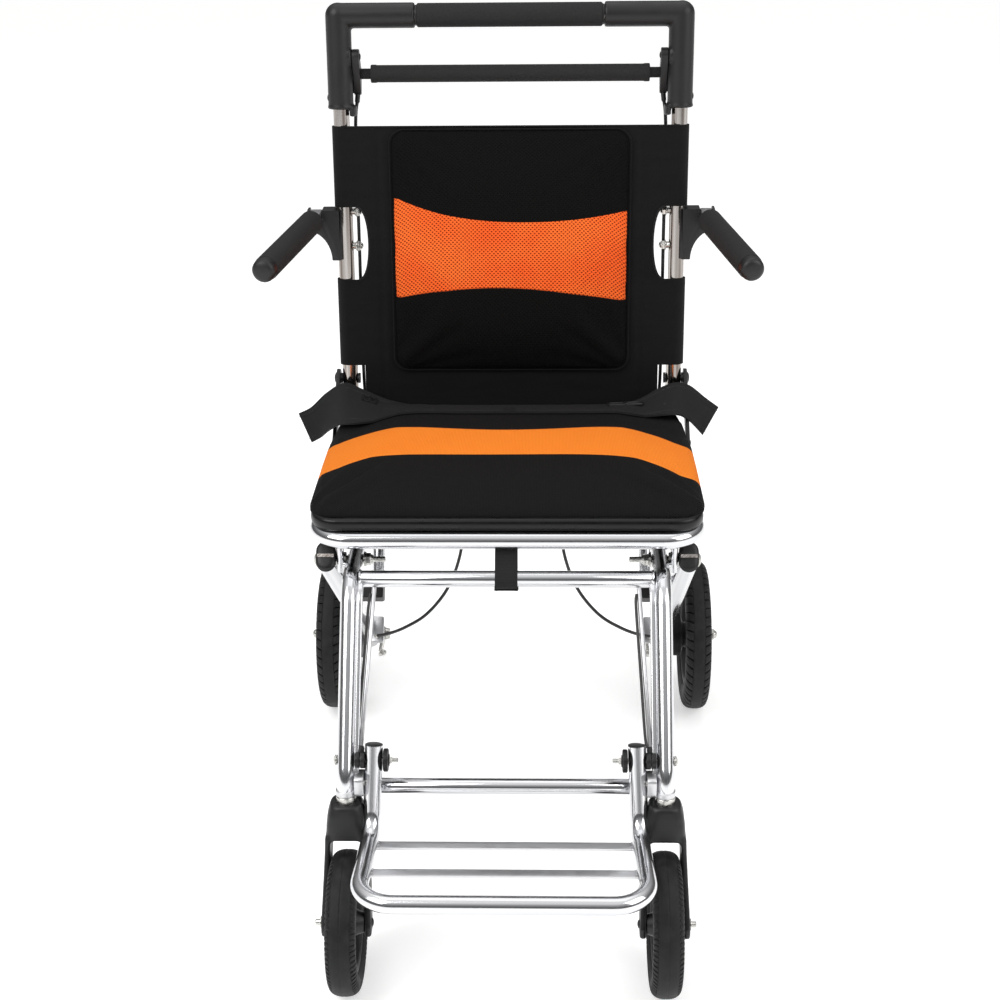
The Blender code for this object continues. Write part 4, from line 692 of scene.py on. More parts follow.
def mesh_of(name, shells):
    """One mesh of several shells, with a slot for each finish and its faces pointing out."""
    bm = bmesh.new()
    layer = bm.loops.layers.uv.new("UVMap")
    mats = []
    for shell in shells:
        if shell["m"] not in mats:
            mats.append(shell["m"])
        points = [bm.verts.new(p) for p in shell["v"]]
        for k, face in enumerate(shell["f"]):
            polygon = bm.faces.new([points[i] for i in face])
            polygon.material_index = mats.index(shell["m"])
            if shell["uv"]:
                for loop, place in zip(polygon.loops, shell["uv"][k]):
                    loop[layer].uv = place
    bmesh.ops.recalc_face_normals(bm, faces=bm.faces)
    mesh = bpy.data.meshes.new(name)
    bm.to_mesh(mesh)
    bm.free()
    for mat in mats:
        mesh.materials.append(made.get(mat))
    return mesh


def link(name, data):
    obj = bpy.data.objects.new(name, data)
    bpy.context.scene.collection.objects.link(obj)
    return obj


def build(name, shells, body=None, stands_for=(), angle=35):
    """A finished piece that rides on a body and stands for CAD nodes."""
    mesh = mesh_of(name, shells)
    mesh.shade_smooth()
    mesh.set_sharp_from_angle(angle=math.radians(angle))
    obj = link(name, mesh)
    if body:
        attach(obj, body)
    if stands_for:
        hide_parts(*stands_for)
    return obj


def taken(obj, mat):
    """The evaluated mesh of a helper object as a shell. The helper goes."""
    bpy.context.view_layer.update()
    ready = obj.evaluated_get(bpy.context.evaluated_depsgraph_get())
    mesh = bpy.data.meshes.new_from_object(ready)
    shell = {"v": [v.co.copy() for v in mesh.vertices],
             "f": [tuple(p.vertices) for p in mesh.polygons], "uv": None, "m": mat}
    data = obj.data
    bpy.data.objects.remove(obj)
    bpy.data.meshes.remove(mesh)
    if data and not data.users:
        bpy.data.meshes.remove(data)
    return shell


def melted(shells, mat, voxel, rounds):
    """Shells fused into one moulded form with soft inner corners."""
    obj = link("melting", mesh_of("melting", shells))
    obj.modifiers.new("fuse", "REMESH").voxel_size = voxel
    obj.modifiers.new("soften", "SMOOTH").iterations = rounds
    return taken(obj, mat)


# Geometry node trees

def new_tree(name, sockets):
    """A geometry tree with its group input and output."""
    tree = bpy.data.node_groups.new(name, "GeometryNodeTree")
    for label, kind in sockets:
        tree.interface.new_socket(label, in_out="INPUT", socket_type="NodeSocket" + kind)
    tree.interface.new_socket("Geometry", in_out="OUTPUT", socket_type="NodeSocketGeometry")
    start = tree.nodes.new("NodeGroupInput")
    return tree, start.outputs


def close_tree(tree, geometry, material):
    """Ends a tree in plain faces of one finish."""
    plain = add(tree, "GeometryNodeRealizeInstances", {"Geometry": geometry})
    done = add(tree, "GeometryNodeSetMaterial", {
        "Geometry": plain.outputs["Geometry"], "Material": material})
    end = tree.nodes.new("NodeGroupOutput")
    tree.links.new(done.outputs["Geometry"], end.inputs["Geometry"])
    return tree


def round_wheel_tree():
    """Sets a part round a wheel: tread blocks, spokes, ribs."""
    tree, given = new_tree("round_a_wheel", (
        ("Geometry", "Geometry"), ("Part", "Object"), ("Count", "Int"), ("Radius", "Float"),
        ("Phase", "Float"), ("Centre", "Vector"), ("Finish", "Material")))
    points = add(tree, "GeometryNodePoints", {"Count": given["Count"]})
    index = add(tree, "GeometryNodeInputIndex").outputs["Index"]
    share = maths(tree, "DIVIDE", maths(tree, "ADD", index, given["Phase"]), given["Count"])
    angle = maths(tree, "MULTIPLY", share, 2 * math.pi)
    spot = add(tree, "ShaderNodeCombineXYZ", {
        "Y": maths(tree, "MULTIPLY", maths(tree, "SINE", angle), given["Radius"]),
        "Z": maths(tree, "MULTIPLY", maths(tree, "COSINE", angle), given["Radius"])})
    spot = add(tree, "ShaderNodeVectorMath", {0: spot.outputs[0], 1: given["Centre"]},
               operation="ADD")
    placed = add(tree, "GeometryNodeSetPosition", {
        "Geometry": points.outputs[0], "Position": spot.outputs[0]})
    turn = add(tree, "ShaderNodeCombineXYZ", {"X": maths(tree, "MULTIPLY", angle, -1.0)})
    part = add(tree, "GeometryNodeObjectInfo", {"Object": given["Part"]})
    copies = add(tree, "GeometryNodeInstanceOnPoints", {
        "Points": placed.outputs["Geometry"], "Instance": part.outputs["Geometry"],
        "Rotation": turn.outputs[0]})
    return close_tree(tree, copies.outputs["Instances"], given["Finish"])


def at_points_tree():
    """Sets a part at each point, aimed and scaled by the point: nuts, rivets, welds."""
    tree, given = new_tree("at_points", (
        ("Geometry", "Geometry"), ("Part", "Object"), ("Finish", "Material")))
    aim = add(tree, "GeometryNodeInputNamedAttribute", {"Name": "aim"},
              data_type="FLOAT_VECTOR")
    size = add(tree, "GeometryNodeInputNamedAttribute", {"Name": "size"}, data_type="FLOAT")
    turn = add(tree, "FunctionNodeAlignRotationToVector", {
        "Vector": aim.outputs["Attribute"]}, axis="Z")
    part = add(tree, "GeometryNodeObjectInfo", {"Object": given["Part"]})
    copies = add(tree, "GeometryNodeInstanceOnPoints", {
        "Points": given["Geometry"], "Instance": part.outputs["Geometry"],
        "Rotation": turn.outputs[0], "Scale": size.outputs["Attribute"]})
    return close_tree(tree, copies.outputs["Instances"], given["Finish"])


def along_line_tree():
    """Sets a part at even steps along a line: stitches."""
    tree, given = new_tree("along_a_line", (
        ("Geometry", "Geometry"), ("Part", "Object"), ("Spacing", "Float"),
        ("Finish", "Material")))
    line = add(tree, "GeometryNodeMeshToCurve", {"Mesh": given["Geometry"]})
    even = add(tree, "GeometryNodeResampleCurve", {
        "Curve": line.outputs["Curve"], "Length": given["Spacing"]}, mode="LENGTH")
    tangent = add(tree, "GeometryNodeInputTangent")
    turn = add(tree, "FunctionNodeAlignRotationToVector", {
        "Vector": tangent.outputs["Tangent"]}, axis="X")
    part = add(tree, "GeometryNodeObjectInfo", {"Object": given["Part"]})
    copies = add(tree, "GeometryNodeInstanceOnPoints", {
        "Points": even.outputs["Curve"], "Instance": part.outputs["Geometry"],
        "Rotation": turn.outputs[0]})
    return close_tree(tree, copies.outputs["Instances"], given["Finish"])


def grown(tree, host, part, finish, **inputs):
    """What a tree makes of a host mesh and a part, as a shell."""
    helper = link("part", mesh_of("part", [part]))
    obj = link("host", host)
    mod = obj.modifiers.new("grow", "NODES")
    mod.node_group = tree
    values = {"Part": helper, "Finish": made[finish],
              **{k.capitalize(): v for k, v in inputs.items()}}
    for item in tree.interface.items_tree:
        if item.in_out == "INPUT" and item.name in values:
            mod[item.identifier] = values[item.name]
    shell = taken(obj, finish)
    data = helper.data
    bpy.data.objects.remove(helper)
    bpy.data.meshes.remove(data)
    if not shell["v"]:
        raise RuntimeError("the tree " + tree.name + " made nothing")
    return shell


def points_mesh(spots):
    """A mesh of loose points, each with the way it faces and its size."""
    mesh = bpy.data.meshes.new("points")
    mesh.from_pydata([s for s, _, _ in spots], [], [])
    mesh.attributes.new("aim", "FLOAT_VECTOR", "POINT")
    mesh.attributes.new("size", "FLOAT", "POINT")
    for i, (_, way, scale) in enumerate(spots):
        mesh.attributes["aim"].data[i].vector = Vector(way).normalized()
        mesh.attributes["size"].data[i].value = scale
    return mesh


def line_mesh(path):
    mesh = bpy.data.meshes.new("line")
    mesh.from_pydata([Vector(p) for p in path], [(i, i + 1) for i in range(len(path) - 1)], [])
    return mesh


def acorn_nut():
    """A domed nut on a washer, one unit in radius and facing +Z."""
    washer = turned([(0, 0), (0, 1.15), (0.16, 1.15), (0.16, 0)], (0, 0, 0), Z_AXIS, None, 20,
                    soft=0.04)
    hexagon = turned([(0.14, 0.0), (0.14, 0.94), (0.26, 1.0), (0.8, 1.0), (0.92, 0.86),
                      (0.92, 0)], (0, 0, 0), Z_AXIS, None, 6, soft=0)
    dome = [(0.85, 0.8)] + [(0.9 + 0.62 * math.sin(math.radians(a)),
                              0.78 * math.cos(math.radians(a))) for a in (0, 25, 50, 70, 84)]
    cap = turned(dome + [(1.53, 0)], (0, 0, 0), Z_AXIS, None, 20, soft=0)
    return together([washer, hexagon, cap])


def rivet_head():
    """A low round rivet head, one unit in radius and facing +Z."""
    profile = [(math.sin(math.radians(a)) * 0.45, math.cos(math.radians(a)))
               for a in (0, 20, 40, 60, 80)]
    return turned([(-0.2, 1.0)] + profile + [(0.45, 0)], (0, 0, 0), Z_AXIS, None, 20, soft=0)


def together(shells):
    """Several shells as one, for a part that is set many times."""
    whole = {"v": [], "f": [], "uv": None, "m": shells[0]["m"]}
    for shell in shells:
        start = len(whole["v"])
        whole["v"] += shell["v"]
        whole["f"] += [tuple(i + start for i in face) for face in shell["f"]]
    return whole


def nuts(spots):
    """Domed nuts. Each spot gives the place, the way it faces and its radius."""
    return grown(made["at_points"], points_mesh(spots), acorn_nut(), "steel")


def rivets(spots, finish="steel"):
    return grown(made["at_points"], points_mesh(spots), rivet_head(), finish)


def round_wheel(part, finish, count, centre, radius=0.0, phase=0.0):
    """Copies of a part in even steps round a wheel. phase is a share of one step."""
    return grown(made["round_wheel"], points_mesh([]), part, finish, count=count,
                 radius=radius, phase=phase, centre=centre)


def stitches(path):
    """A row of thread stitches along a path."""
    pitch = bpy.context.scene.chair_sizes.stitch_length
    part = sweep([(-pitch * 0.36, 0, -0.0002), (-pitch * 0.2, 0, 0.00015),
                  (pitch * 0.2, 0, 0.00015), (pitch * 0.36, 0, -0.0002)],
                 circle(0.00035, 5), None)
    return grown(made["along_line"], line_mesh(path), part, "thread", spacing=pitch)


def prepare():
    """Makes the finishes and the node trees once."""
    hues = bpy.context.scene.chair_colours
    sizes = bpy.context.scene.chair_sizes
    made.update(alloy=drawn_aluminium("drawn_aluminium", hues.alloy, "#cfd0d3"),
                dull_alloy=drawn_aluminium("clouded_aluminium", "#c9c4c0", "#7b716b"),
                cast=cast_aluminium(), steel=zinc_steel(hues),
                plastic=moulded_nylon(hues), foam=closed_cell_foam(hues),
                rubber=tyre_rubber(hues), nylon=woven_nylon(hues), webbing=webbing(),
                thread=thread(), vinyl=vinyl(), sheath=cable_sheath(),
                round_wheel=round_wheel_tree(), at_points=at_points_tree(),
                along_line=along_line_tree())
    made["pad_mesh"] = air_mesh("back_air_mesh", hues.mesh, (hues.band, "#fd6529", "#8a2c0c",
                                                             "#040404"),
                                "Z", sizes.mesh_pitch, (0.13, 0.31, 1.25),
                                ((0.6235, -0.0346, -0.972, 1.08),
                                 (0.7026, -0.0296, 0.909, -1.67)), 0.134)
    # the seat's mesh is painted near black from 0.168 m back: painted shade at the cushion's
    # rear
    made["seat_mesh"] = air_mesh("seat_air_mesh", "#1c1c1c",
                                 (hues.seat_band, "#ff9030", "#e27a26", "#080808"), "Y",
                                 sizes.mesh_pitch * 0.66, (0.08, 0.36, 0.6),
                                 ((-0.0128, 0.012, 0.15, -1.61, -18.3),
                                  (0.064, 0.012, 1.3, -0.8, -36.0)), 0.19, 0.168)


# Places on the leaning posts and the rear legs

def post_y(z):
    return FRONT_Y + 0.533 + (z - SEAT_Z) * math.tan(RECLINE)


def on_post(x, z, ahead=0.0):
    """A point beside the post line, ahead of it by a distance square to the post."""
    return Vector((x, post_y(z) - ahead * math.cos(RECLINE), z + ahead * math.sin(RECLINE)))


def on_leg(x, along, above=0.0):
    """A point beside the rear leg's line, by distance from its pivot and above it."""
    return LEG_PIVOT + LEG_ALONG * along + LEG_UP * above + X_AXIS * x


def smooth_route(points, steps):
    """A smooth curve through a cord's own points."""
    points = [Vector(p) for p in points]
    ends = [points[0] * 2 - points[1]] + points + [points[-1] * 2 - points[-2]]
    route = []
    for a, b, c, d in zip(ends, ends[1:], ends[2:], ends[3:]):
        for i in range(steps):
            t = i / steps
            route.append(0.5 * (2 * b + (c - a) * t + (2 * a - 5 * b + 4 * c - d) * t * t
                                + (3 * b - a - 3 * c + d) * t ** 3))
    return route + [points[-1]]


# Frame tubes

def weld(centre, axis, inner, outer):
    """A fused bead where one tube's end meets another tube."""
    profile = [(-0.0004, inner - 0.0004), (-0.0004, outer), (0.0006, outer - 0.0004),
               (0.0014, (inner + outer) / 2 + 0.0002), (0.0026, inner)]
    return turned(profile, centre, axis, "alloy", 32, soft=0.0004)


def end_cap(place, way, radius, tall=0.0028):
    """A domed plastic cap pushed on the end of a tube."""
    profile = [(-0.0012, radius - 0.001), (-0.0012, radius), (tall * 0.4, radius),
               (tall, radius * 0.72), (tall * 1.1, 0)]
    return turned(profile, place, way, "plastic", 32, soft=0.0008)


def front_legs():
    """The bent side tubes, each with the flat rib along its inner side."""
    for side, sign in SIDES:
        x = sign * FRONT_X
        corners = [(x, STEM_Y, SOCKET_Z), (x, STEM_Y, LEG_BEND_Z), (x, KNEE_Y, RAIL_Z),
                   (x, RAIL_END, RAIL_Z)]
        path = rounded(corners, (0.044, 0.045), 16)
        shells = [sweep(path, circle(TUBE_R, 40), "alloy", X_AXIS)]
        shells.append(end_cap(Vector(corners[-1]), Y_AXIS, TUBE_R))
        rib = [Vector((sign * RIB_X, p.y, p.z)) for p in path if p.y < KNEE_Y + 0.01]
        shells.append(sweep(rib, box_section(0.0062, 0.0052, 0.0016), "alloy", X_AXIS,
                            soft=0.0006))
        shells.append(turned([(0.0, TUBE_R), (0.0, TUBE_R + 0.0011), (0.006, TUBE_R + 0.0011),
                              (0.0072, TUBE_R - 0.001)], (x, STEM_Y, SOCKET_Z + 0.0004), Z_AXIS,
                             "cast", 40))
        # the short rod that stands beside the rail, and the pin that holds it there
        post = Vector((sign * 0.1828, -0.0975, 0.388))
        pin = post + Z_AXIS * 0.009
        shells.append(rod(post, post + Z_AXIS * (BASE_Z - post.z), 0.0041, "alloy", 24))
        shells.append(rod(pin - X_AXIS * sign * 0.013, pin, 0.0032, "alloy", 16))
        build("leg_tube_" + side, shells, "chassis", ["front_leg_" + side])


def crossbars():
    """The tube between the knees and the one behind the footrest."""
    inner = FRONT_X - TUBE_R
    shells = [rod(CROSS - X_AXIS * inner, CROSS + X_AXIS * inner, CROSSBAR_R, "alloy", 40)]
    for sign in (-1, 1):
        shells.append(weld(CROSS + X_AXIS * sign * inner, X_AXIS * -sign, CROSSBAR_R, 0.0106))
    build("crossbar_tube", shells, "chassis", ["upper_crossbar"])

    end = inner - 0.005
    shells = [rod(LOWER - X_AXIS * end, LOWER + X_AXIS * end, LOWER_BAR_R, "alloy", 40)]
    low, z, r = SOCKET_Z + 0.001, LOWER.z, LOWER_BAR_R
    back = LOWER.y + r + 0.002
    foot = z - r - 0.002
    outline = [(STEM_Y - TUBE_R, low), (STEM_Y - TUBE_R, low + 0.022),
               (STEM_Y + 0.01, low + 0.0235), (back, z + r + 0.001), (back, foot),
               (back - 0.011, foot), (back - 0.013, z), (STEM_Y + 0.012, low)]
    for sign in (-1, 1):
        shells.append(prism(fillet(outline, 0.005, 4), side_on, sign * (inner - GAP),
                            sign * (inner - 0.01), "cast", 0.0012))
        shells.append(rivets([((sign * (inner - 0.0098), STEM_Y + 0.001, low + 0.012),
                               (-sign, 0, 0), 0.0032)]))
    build("lower_tube", shells, "chassis", ["lower_crossbar"])


def stays():
    """The thin rods down to the footrest's pivots, each with a black cord beside it."""
    for side, sign in SIDES:
        top = CROSS + X_AXIS * sign * STAY_TOP_X
        foot = FOOT_PIVOT + X_AXIS * sign * STAY_FOOT_X
        run = (top - foot).normalized()
        start, end = foot + run * 0.0068, top - run * (CROSSBAR_R + 0.0005)
        shells = [rod(start, end, 0.0025, "cast", 20)]
        shells.append(turned([(-0.0004, 0.003), (-0.0004, 0.0038), (0.006, 0.0038),
                              (0.008, 0.0028)], start, run, "plastic", 24))
        strand = [start + run * 0.008 - X_AXIS * 0.003 - Y_AXIS * 0.002]
        for t in (0.12, 0.5, 0.88):
            strand.append(start.lerp(end, t) - X_AXIS * 0.0045 - Y_AXIS * 0.0012)
        strand.append(end - run * 0.006 - X_AXIS * 0.003 - Y_AXIS * 0.002)
        shells.append(sweep(smooth_route(strand, 6), circle(0.0016, 12), "sheath"))
        build("stay_" + side, shells, "chassis", ["footrest_stay_" + side])


def seat_loop():
    """The closed tube under the seat."""
    path = [Vector((x, y, SEAT_Z))
            for x, y in oblong(-SEAT_X, SEAT_X, SEAT_FRONT, SEAT_REAR, 0.038, 16)]
    build("seat_loop_tube", [sweep(path, circle(TUBE_R, 40), "alloy", Z_AXIS, True)],
          "chassis", ["seat_frame"])


def seat_brackets():
    """The pressed rails between the side tubes and the seat loop, riveted to both."""
    for side, sign in SIDES:
        low, high = RAIL_Z + TUBE_R + GAP, SEAT_Z - TUBE_R - GAP
        t, inner = 0.0032, FRONT_X - 0.01
        step, out = inner + 0.02, SEAT_X + TUBE_R
        rise = out - 0.02
        outline = [(inner, low), (step, low), (rise + t / 2, high - t), (out, high - t),
                   (out, high), (rise - t / 2, high), (step - t, low + t), (inner, low + t)]
        outline = [(sign * x, z) for x, z in outline]
        start, end = FRONT_Y + 0.262, FRONT_Y + 0.48
        shells = [prism(fillet(outline, 0.0015, 2), end_on, start, end, "cast", 0.0006)]
        spots = []
        for y in (start + 0.018, (start + end) / 2, end - 0.018):
            spots.append(((sign * (inner + 0.006), y, low + t), (0, 0, 1), 0.0035))
            spots.append(((sign * (out - 0.008), y, high - t), (0, 0, -1), 0.0035))
        shells.append(rivets(spots))
        build("seat_rail_" + side, shells, "chassis", ["seat_bracket_" + side])


def back_hinges():
    """The black coated plates that the posts turn on, with their pins."""
    for side, sign in SIDES:
        low = POST_X + TUBE_R + 0.0028
        high = low + 0.0045
        eye = Vector((0, post_y(HINGE_Z), HINGE_Z))
        outline = [(SEAT_REAR - 0.056, SEAT_Z + 0.002), (SEAT_REAR - 0.052, SEAT_Z - 0.004),
                   (SEAT_REAR - 0.038, SEAT_Z - 0.004)]
        outline += arc(eye.y, eye.z, 0.0115, -50, 180, 14)
        shells = [prism(fillet(outline, 0.003, 3), side_on, sign * low, sign * high,
                        "plastic", 0.0008)]
        post_in, post_out = POST_X - TUBE_R - GAP, POST_X + TUBE_R + GAP
        pin = [(low + 0.001, 0.0065), (post_out, 0.0065), (post_out, 0.004),
               (post_in, 0.004), (post_in, 0.0065), (POST_X - TUBE_R - 0.0028, 0.0065)]
        shells.append(turned_across(sign, pin, eye, "plastic", 32))
        shells.append(rivets([((sign * high, eye.y, eye.z), (sign, 0, 0), 0.0075),
                              ((sign * high, SEAT_REAR - 0.04, SEAT_Z + 0.004),
                               (sign, 0, 0), 0.004)], "plastic"))
        build("hinge_plate_" + side, shells, "chassis", ["back_hinge_" + side])


def footrest():
    """The bent footrest tube with its two welded slats."""
    heel, toe = STEM_Y - 0.009, FRONT_Y - 0.091
    slope = (FOOT_PIVOT.y - heel) / (FOOT_PIVOT.z - FOOT_Z)
    top = FOOT_PIVOT.y + (FOOT_TOP_Z - FOOT_PIVOT.z) * slope
    wide = FOOT_X + 0.0035
    half = [(FOOT_X, top, FOOT_TOP_Z), (wide, heel, FOOT_Z), (FOOT_FRONT_X, toe, FOOT_Z)]
    corners = [(-x, y, z) for x, y, z in half] + half[::-1]
    path = rounded(corners, (0.032, 0.036, 0.036, 0.032), 16)
    shells = [sweep(path, circle(TUBE_R, 40), "alloy")]
    for sign in (-1, 1):
        shells.append(end_cap(Vector((sign * FOOT_X, top, FOOT_TOP_Z)), path[0] - path[1],
                              TUBE_R, 0.0012))
    beads = []
    z = FOOT_Z - 0.0035
    for inset in (0.021, 0.07):
        y = heel - inset
        share = (heel - y) / (heel - toe)
        reach = wide + (FOOT_FRONT_X - wide) * share - TUBE_R / 2
        shells.append(box((-reach, y - 0.006, z - 0.0015), (reach, y + 0.006, z + 0.0015),
                          "cast", 0.0006))
        for sign in (-1, 1):
            for shift in (-0.0052, 0.0, 0.0052):
                beads.append(((sign * (reach - TUBE_R * 0.48), y + shift, z + 0.0012),
                              (-sign * 0.5, 0, 1), 0.0022))
    shells.append(rivets(beads, "cast"))
    build("footrest_tube", shells, "footrest", ["footrest_frame"])


def foot_pivots():
    """The footrest's bolts: domed head, two washers, knurled knob, nut and thread end."""
    for side, sign in SIDES:
        foot_out, foot_in = FOOT_X + TUBE_R + GAP, FOOT_X - TUBE_R - GAP
        knob_in = foot_in - 0.0052
        tip = knob_in - 0.0105
        bolt = [(RAIL_OUT + 0.003, 0), (RAIL_OUT + 0.003, 0.003), (RAIL_OUT + 0.0014, 0.0055),
                (RAIL_OUT, 0.0055), (RAIL_OUT, 0.003), (knob_in, 0.003), (knob_in, 0.0024),
                (tip + 0.0005, 0.0024), (tip, 0.0018), (tip, 0)]
        shells = [turned_across(sign, bolt, FOOT_PIVOT, "steel", 32)]
        between_tubes = (RAIL_IN + foot_out) / 2
        for high, low, r in ((RAIL_IN, between_tubes + GAP, 0.0088),
                             (between_tubes - GAP, foot_out, 0.0088),
                             (foot_in, knob_in, 0.0118), (knob_in, knob_in - 0.0012, 0.0065)):
            disc = [(high, 0.0026), (high, r), (low, r), (low, 0.0026)]
            shells.append(turned_across(sign, disc, FOOT_PIVOT, "plastic", 40, 0.0008))
        tooth = box((-0.002, -0.0006, -0.0003), (0.002, 0.0006, 0.0004), None)
        centre = FOOT_PIVOT + X_AXIS * sign * (foot_in + knob_in) / 2
        shells.append(round_wheel(tooth, "plastic", 30, centre, 0.0118))
        nut = [(knob_in - 0.001, 0.002), (knob_in - 0.001, 0.0042),
               (knob_in - 0.004, 0.0042), (knob_in - 0.004, 0.002)]
        shells.append(turned_across(sign, nut, FOOT_PIVOT, "steel", 6, 0.0003))
        build("foot_bolt_" + side, shells, "chassis", ["footrest_pivot_" + side])


def leg_pivots():
    """The bolts that the rear legs fold on."""
    for side, sign in SIDES:
        bolt = [(LEG_OUT + 0.004, 0), (LEG_OUT + 0.004, 0.0045), (LEG_OUT + 0.0015, 0.008),
                (LEG_OUT, 0.008), (LEG_OUT, 0.004), (LEG_IN, 0.004), (LEG_IN, 0.008),
                (RAIL_OUT, 0.008), (RAIL_OUT, 0.004), (RAIL_IN, 0.004), (RAIL_IN, 0.0085),
                (RAIL_IN - 0.0015, 0.0085), (RAIL_IN - 0.0015, 0.0035),
                (RAIL_IN - 0.019, 0.003), (RAIL_IN - 0.0235, 0.003), (RAIL_IN - 0.0242, 0)]
        shells = [turned_across(sign, bolt, LEG_PIVOT, "steel", 32)]
        spot = (sign * (RAIL_IN - 0.0015), LEG_PIVOT.y, LEG_PIVOT.z)
        shells.append(nuts([(spot, (-sign, 0, 0), 0.007)]))
        build("leg_bolt_" + side, shells, "chassis", ["leg_pivot_" + side])


# Rear frame

def rear_legs():
    """The oval rear legs with their end plugs, cable lugs and tie tube."""
    for side, sign in SIDES:
        x = sign * REAR_LEG_X
        start, end = on_leg(x, -0.01), on_leg(x, REAR_LEG_LONG + 0.018)
        shells = [sweep([start, end], stadium(0.02, 0.032), "alloy", X_AXIS, soft=0.0006)]
        lug = []
        for along in (0.398, 0.406):
            lug.append([on_leg(sign * a, along, b) for a, b in
                        fillet([(0.1725, -0.027), (0.1885, -0.027), (0.191, -0.01),
                                (0.191, 0.008), (0.1725, 0.008)], 0.003, 3)])
        shells.append(bevelled(loft(lug, "cast"), 0.0008))
        shells.append(end_cap(end, LEG_ALONG, 0.0085))
        build("rear_tube_" + side, shells, "rear_frame", ["rear_leg_" + side])

        rings = []
        for along, shrink in ((-0.0102, 0.0), (-0.0112, -0.0004), (-0.0122, 0.0),
                              (-0.0128, 0.0008), (-0.0134, 0.0), (-0.015, -0.0004),
                              (-0.0164, 0.0006), (-0.0176, 0.0026), (-0.0179, 0.0055)):
            oval = stadium(0.021 - 2 * shrink, 0.033 - 2 * shrink)
            rings.append([on_leg(x + a, along, b) for a, b in oval])
        # the clouded aluminium bar across each plug is a painted highlight, standing for the
        # light that the plug's top catches
        bar = [[on_leg(x + a, along, b) for a, b in box_section(0.0185, 0.0038, 0.0008, 2)]
               for along in (-0.017, -0.019)]
        build("end_plug_" + side, [loft(rings, "plastic"), loft(bar, "dull_alloy")],
              "rear_frame", ["leg_plug_" + side])

    end = REAR_LEG_X - 0.01
    start, stop = on_leg(-end, 0.17, 0.01), on_leg(end, 0.17, 0.01)
    shells = [rod(start, stop, 0.008, "alloy", 36)]
    shells += [weld(start, X_AXIS, 0.008, 0.0095), weld(stop, -X_AXIS, 0.008, 0.0095)]
    build("tie_tube", shells, "rear_frame", ["rear_crossbar"])


def leg_rests():
    """The struts whose saddles hold the open rear legs."""
    for side, sign in SIDES:
        x = sign * FRONT_X
        foot = on_leg(x, 0.26, 0.022)
        rise = (RAIL_Z - TUBE_R - foot.z + 0.002) / LEG_UP.z
        shells = [rod(foot, foot + LEG_UP * rise, 0.008, "alloy", 32)]
        inner, outer = FRONT_X - 0.008, REAR_LEG_X + 0.0138
        outline = [(inner, 0.004), (inner, 0.024), (outer, 0.024), (outer, 0.004),
                   (outer - 0.0035, 0.004)]
        outline += arc(REAR_LEG_X, 0.006, LEG_OUT - REAR_LEG_X, 0, 180, 12)
        outline += [(LEG_IN, 0.004)]
        rings = [[on_leg(sign * a, along, b) for a, b in fillet(outline, 0.003, 3)]
                 for along in (0.246, 0.274)]
        shells.append(bevelled(loft(rings, "plastic"), 0.001))
        build("saddle_" + side, shells, "chassis", ["leg_rest_" + side])


# Wheels

def tyre_middle(radius, rim):
    """How far from the axle a tyre is at its widest."""
    return radius - (radius - rim) * 0.52


def tyre_height(x, radius, rim, half, power):
    """How far from the axle a tyre's smooth surface is, at a place across it."""
    mid = tyre_middle(radius, rim)
    return mid + (radius - mid) * max(0.0, 1 - abs(x / half) ** power) ** (1 / power)


def tyre_shell(centre, form, shoulder, sunk, groove=0.0):
    """A solid tyre, sunk between the blocks that stand on its shoulders."""
    radius, rim, half = form[:3]
    mid = tyre_middle(radius, rim)
    profile = [(-half * 0.74, rim), (-half * 0.86, rim + 0.002), (-half, mid - 0.0045)]
    count = 88
    for i in range(count + 1):
        x = half * math.sin(math.pi * (i / count - 0.5))
        past = min(1.0, max(0.0, (abs(x / half) - shoulder) / 0.06))
        r = tyre_height(x, *form) - sunk * past - groove * math.exp(-(x / 0.0005) ** 2)
        profile.append((x * (1 - 0.035 * past), r))
    profile += [(half, mid - 0.0045), (half * 0.86, rim + 0.002), (half * 0.74, rim)]
    return turned(profile, centre, X_AXIS, "rubber", 128, closed=True, soft=0)


def tread_block(form, shoulder, long, deep, slant, part):
    """One shoulder block of a tyre, from its crown out to its side wall, at the top."""
    rings = []
    for t in (0.0, 0.06, 0.25, 0.44, 0.62, 0.78, 0.9, 0.97, 1.0):
        share = shoulder + 0.02 + (0.98 - shoulder) * t
        x = part * form[2] * share
        high = tyre_height(x, *form) - (0.0 if t else 0.0004)
        low, shift = high - deep - 0.0008, slant * t
        rings.append([Vector((x, y + shift, z)) for y, z in
                      ((-long / 2, low), (long / 2, low), (long / 2, high - 0.0003),
                       (long * 0.44, high), (-long * 0.44, high), (-long / 2, high - 0.0003))])
    return loft(rings, None)


def tread(centre, form, shoulder, count, fill, deep, slant):
    """The blocks on both shoulders of a tyre."""
    pitch = 2 * math.pi * form[0] / count
    return [round_wheel(tread_block(form, shoulder, pitch * fill, deep, pitch * slant, part),
                        "rubber", count, centre, phase=0.25 * (1 + part)) for part in (-1, 1)]


